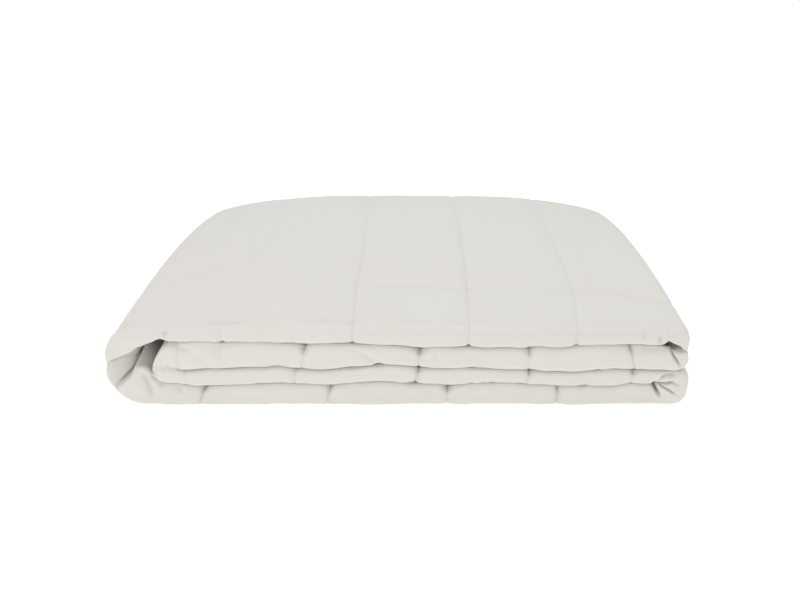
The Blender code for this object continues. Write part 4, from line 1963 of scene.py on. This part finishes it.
@dataclass(frozen=True)
class FloorWhite:
    """Plain pale sheet, which glows faintly so that it reads white."""

    light: tuple[float, float, float] = (0.94, 0.94, 0.94)
    dark: tuple[float, float, float] = (0.92, 0.92, 0.92)
    roughness: float = 0.9
    glow: float = 0.38
    tint: tuple[float, float, float] = (1.0, 0.94, 0.92)
    rate: float = 1.5

    def material(self, effects: Effects) -> bpy.types.Material:
        """Builds the floor's finish: a drift of tone mixes its two whites.

        Args:
            effects: the shared groups.

        Returns:
            The material. It reads Object coordinates.
        """
        material, kit, shader = new_finish("floor white", self.roughness, 0.0)
        kit.fill(shader.inputs["Emission Strength"], self.glow)
        kit.fill(shader.inputs["Emission Color"], (*self.tint, 1.0))
        place = kit.node("ShaderNodeTexCoord")
        drift = kit.group(effects.drift, Place=place.outputs["Object"], Rate=self.rate)
        kit.fill(shader.inputs["Base Color"], kit.blend(drift.outputs["Tone"], self.light, self.dark))
        return material


# ---- the stage --------------------------------------------------------------------------
class SoftBox(NamedTuple):
    """A rectangular soft light: watts, the two sides, place, turn in degrees, and colour.

    Unturned, it shines straight down.
    """

    name: str
    power: float
    size: tuple[float, float]
    place: tuple[float, float, float]
    turn: tuple[float, float, float]
    tint: tuple[float, float, float]


@dataclass
class Studio:
    """Pale floor, soft light from above and from the left, and a camera at the photograph's angle."""

    floor_side: float = 12.0
    focal_px: float = 773.0
    frame_px: float = 800.0
    sensor_mm: float = 36.0
    pitch_deg: float = 30.756
    camera_place: tuple[float, float, float] = (0.0002, -0.678, 0.4277)
    world_strength: float = 0.65
    lights: tuple[SoftBox, ...] = (
        SoftBox("top", 10.2, (1.3, 1.1), (0.1, 0.0, 1.6), (0.0, 0.0, 0.0), WHITE),
        SoftBox("key", 4.95, (0.9, 0.7), (-0.75, -1.3, 1.05), (58.0, 0.0, -30.0), (1.0, 0.915, 0.875)))

    def build(self, effects: Effects) -> None:
        """Makes the floor, the lights and the camera.

        Args:
            effects: the shared groups.
        """
        self._floor(FloorWhite().material(effects))
        self._surround()
        for light in self.lights:
            self._softbox(light)
        self._camera()

    def _floor(self, material: bpy.types.Material) -> None:
        """Lays a large plain sheet under the blanket.

        Args:
            material: its finish.
        """
        half = self.floor_side / 2
        corners = [(-half, -half, 0.0), (half, -half, 0.0), (half, half, 0.0), (-half, half, 0.0)]
        floor = new_object("floor", corners, [(0, 1, 2, 3)], smooth=False)
        floor.data.materials.append(material)

    def _surround(self) -> None:
        """An even white surround."""
        world = bpy.data.worlds.new("surround")
        bpy.context.scene.world = world
        world.use_nodes = True
        background = world.node_tree.nodes["Background"]
        background.inputs["Color"].default_value = (*WHITE, 1.0)
        background.inputs["Strength"].default_value = self.world_strength

    @staticmethod
    def _softbox(box: SoftBox) -> None:
        """Adds one rectangular soft light.

        Args:
            box: its sizes.
        """
        light = bpy.data.lights.new(box.name, "AREA")
        light.shape = "RECTANGLE"
        light.size, light.size_y = box.size
        light.energy, light.color = box.power, box.tint
        lamp = bpy.data.objects.new(box.name, light)
        lamp.location = box.place
        lamp.rotation_euler = [math.radians(angle) for angle in box.turn]
        bpy.context.scene.collection.objects.link(lamp)

    def _camera(self) -> None:
        """The photograph's camera: its horizon and focal length were read off the seams."""
        data = bpy.data.cameras.new("camera")
        data.sensor_fit = "HORIZONTAL"
        data.sensor_width = self.sensor_mm
        data.lens = self.focal_px / self.frame_px * self.sensor_mm
        camera = bpy.data.objects.new("camera", data)
        camera.location = self.camera_place
        camera.rotation_euler = (math.radians(90.0 - self.pitch_deg), 0.0, 0.0)
        bpy.context.scene.collection.objects.link(camera)
        bpy.context.scene.camera = camera
        bpy.context.scene.view_settings.view_transform = "Standard"


def main() -> None:
    """Loads the part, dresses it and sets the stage."""
    logging.basicConfig(level=logging.INFO, format="%(name)s: %(message)s")
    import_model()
    effects = Effects.made()
    grid = SkinGrid(BlanketSkin())
    cover = grid.mesh_object("blanket_cover")
    cover.data.materials.append(CoverCloth().material(effects))
    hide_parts(NODE)
    stitches = Stitching().mesh_object("blanket_stitching", grid)
    stitches.data.materials.append(Thread().material(effects))
    for piece in (cover, stitches):
        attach(piece, BODY)
        log.info("%s: %d points", piece.name, len(piece.data.vertices))
    Studio().build(effects)


if __name__ == "__main__":
    main()
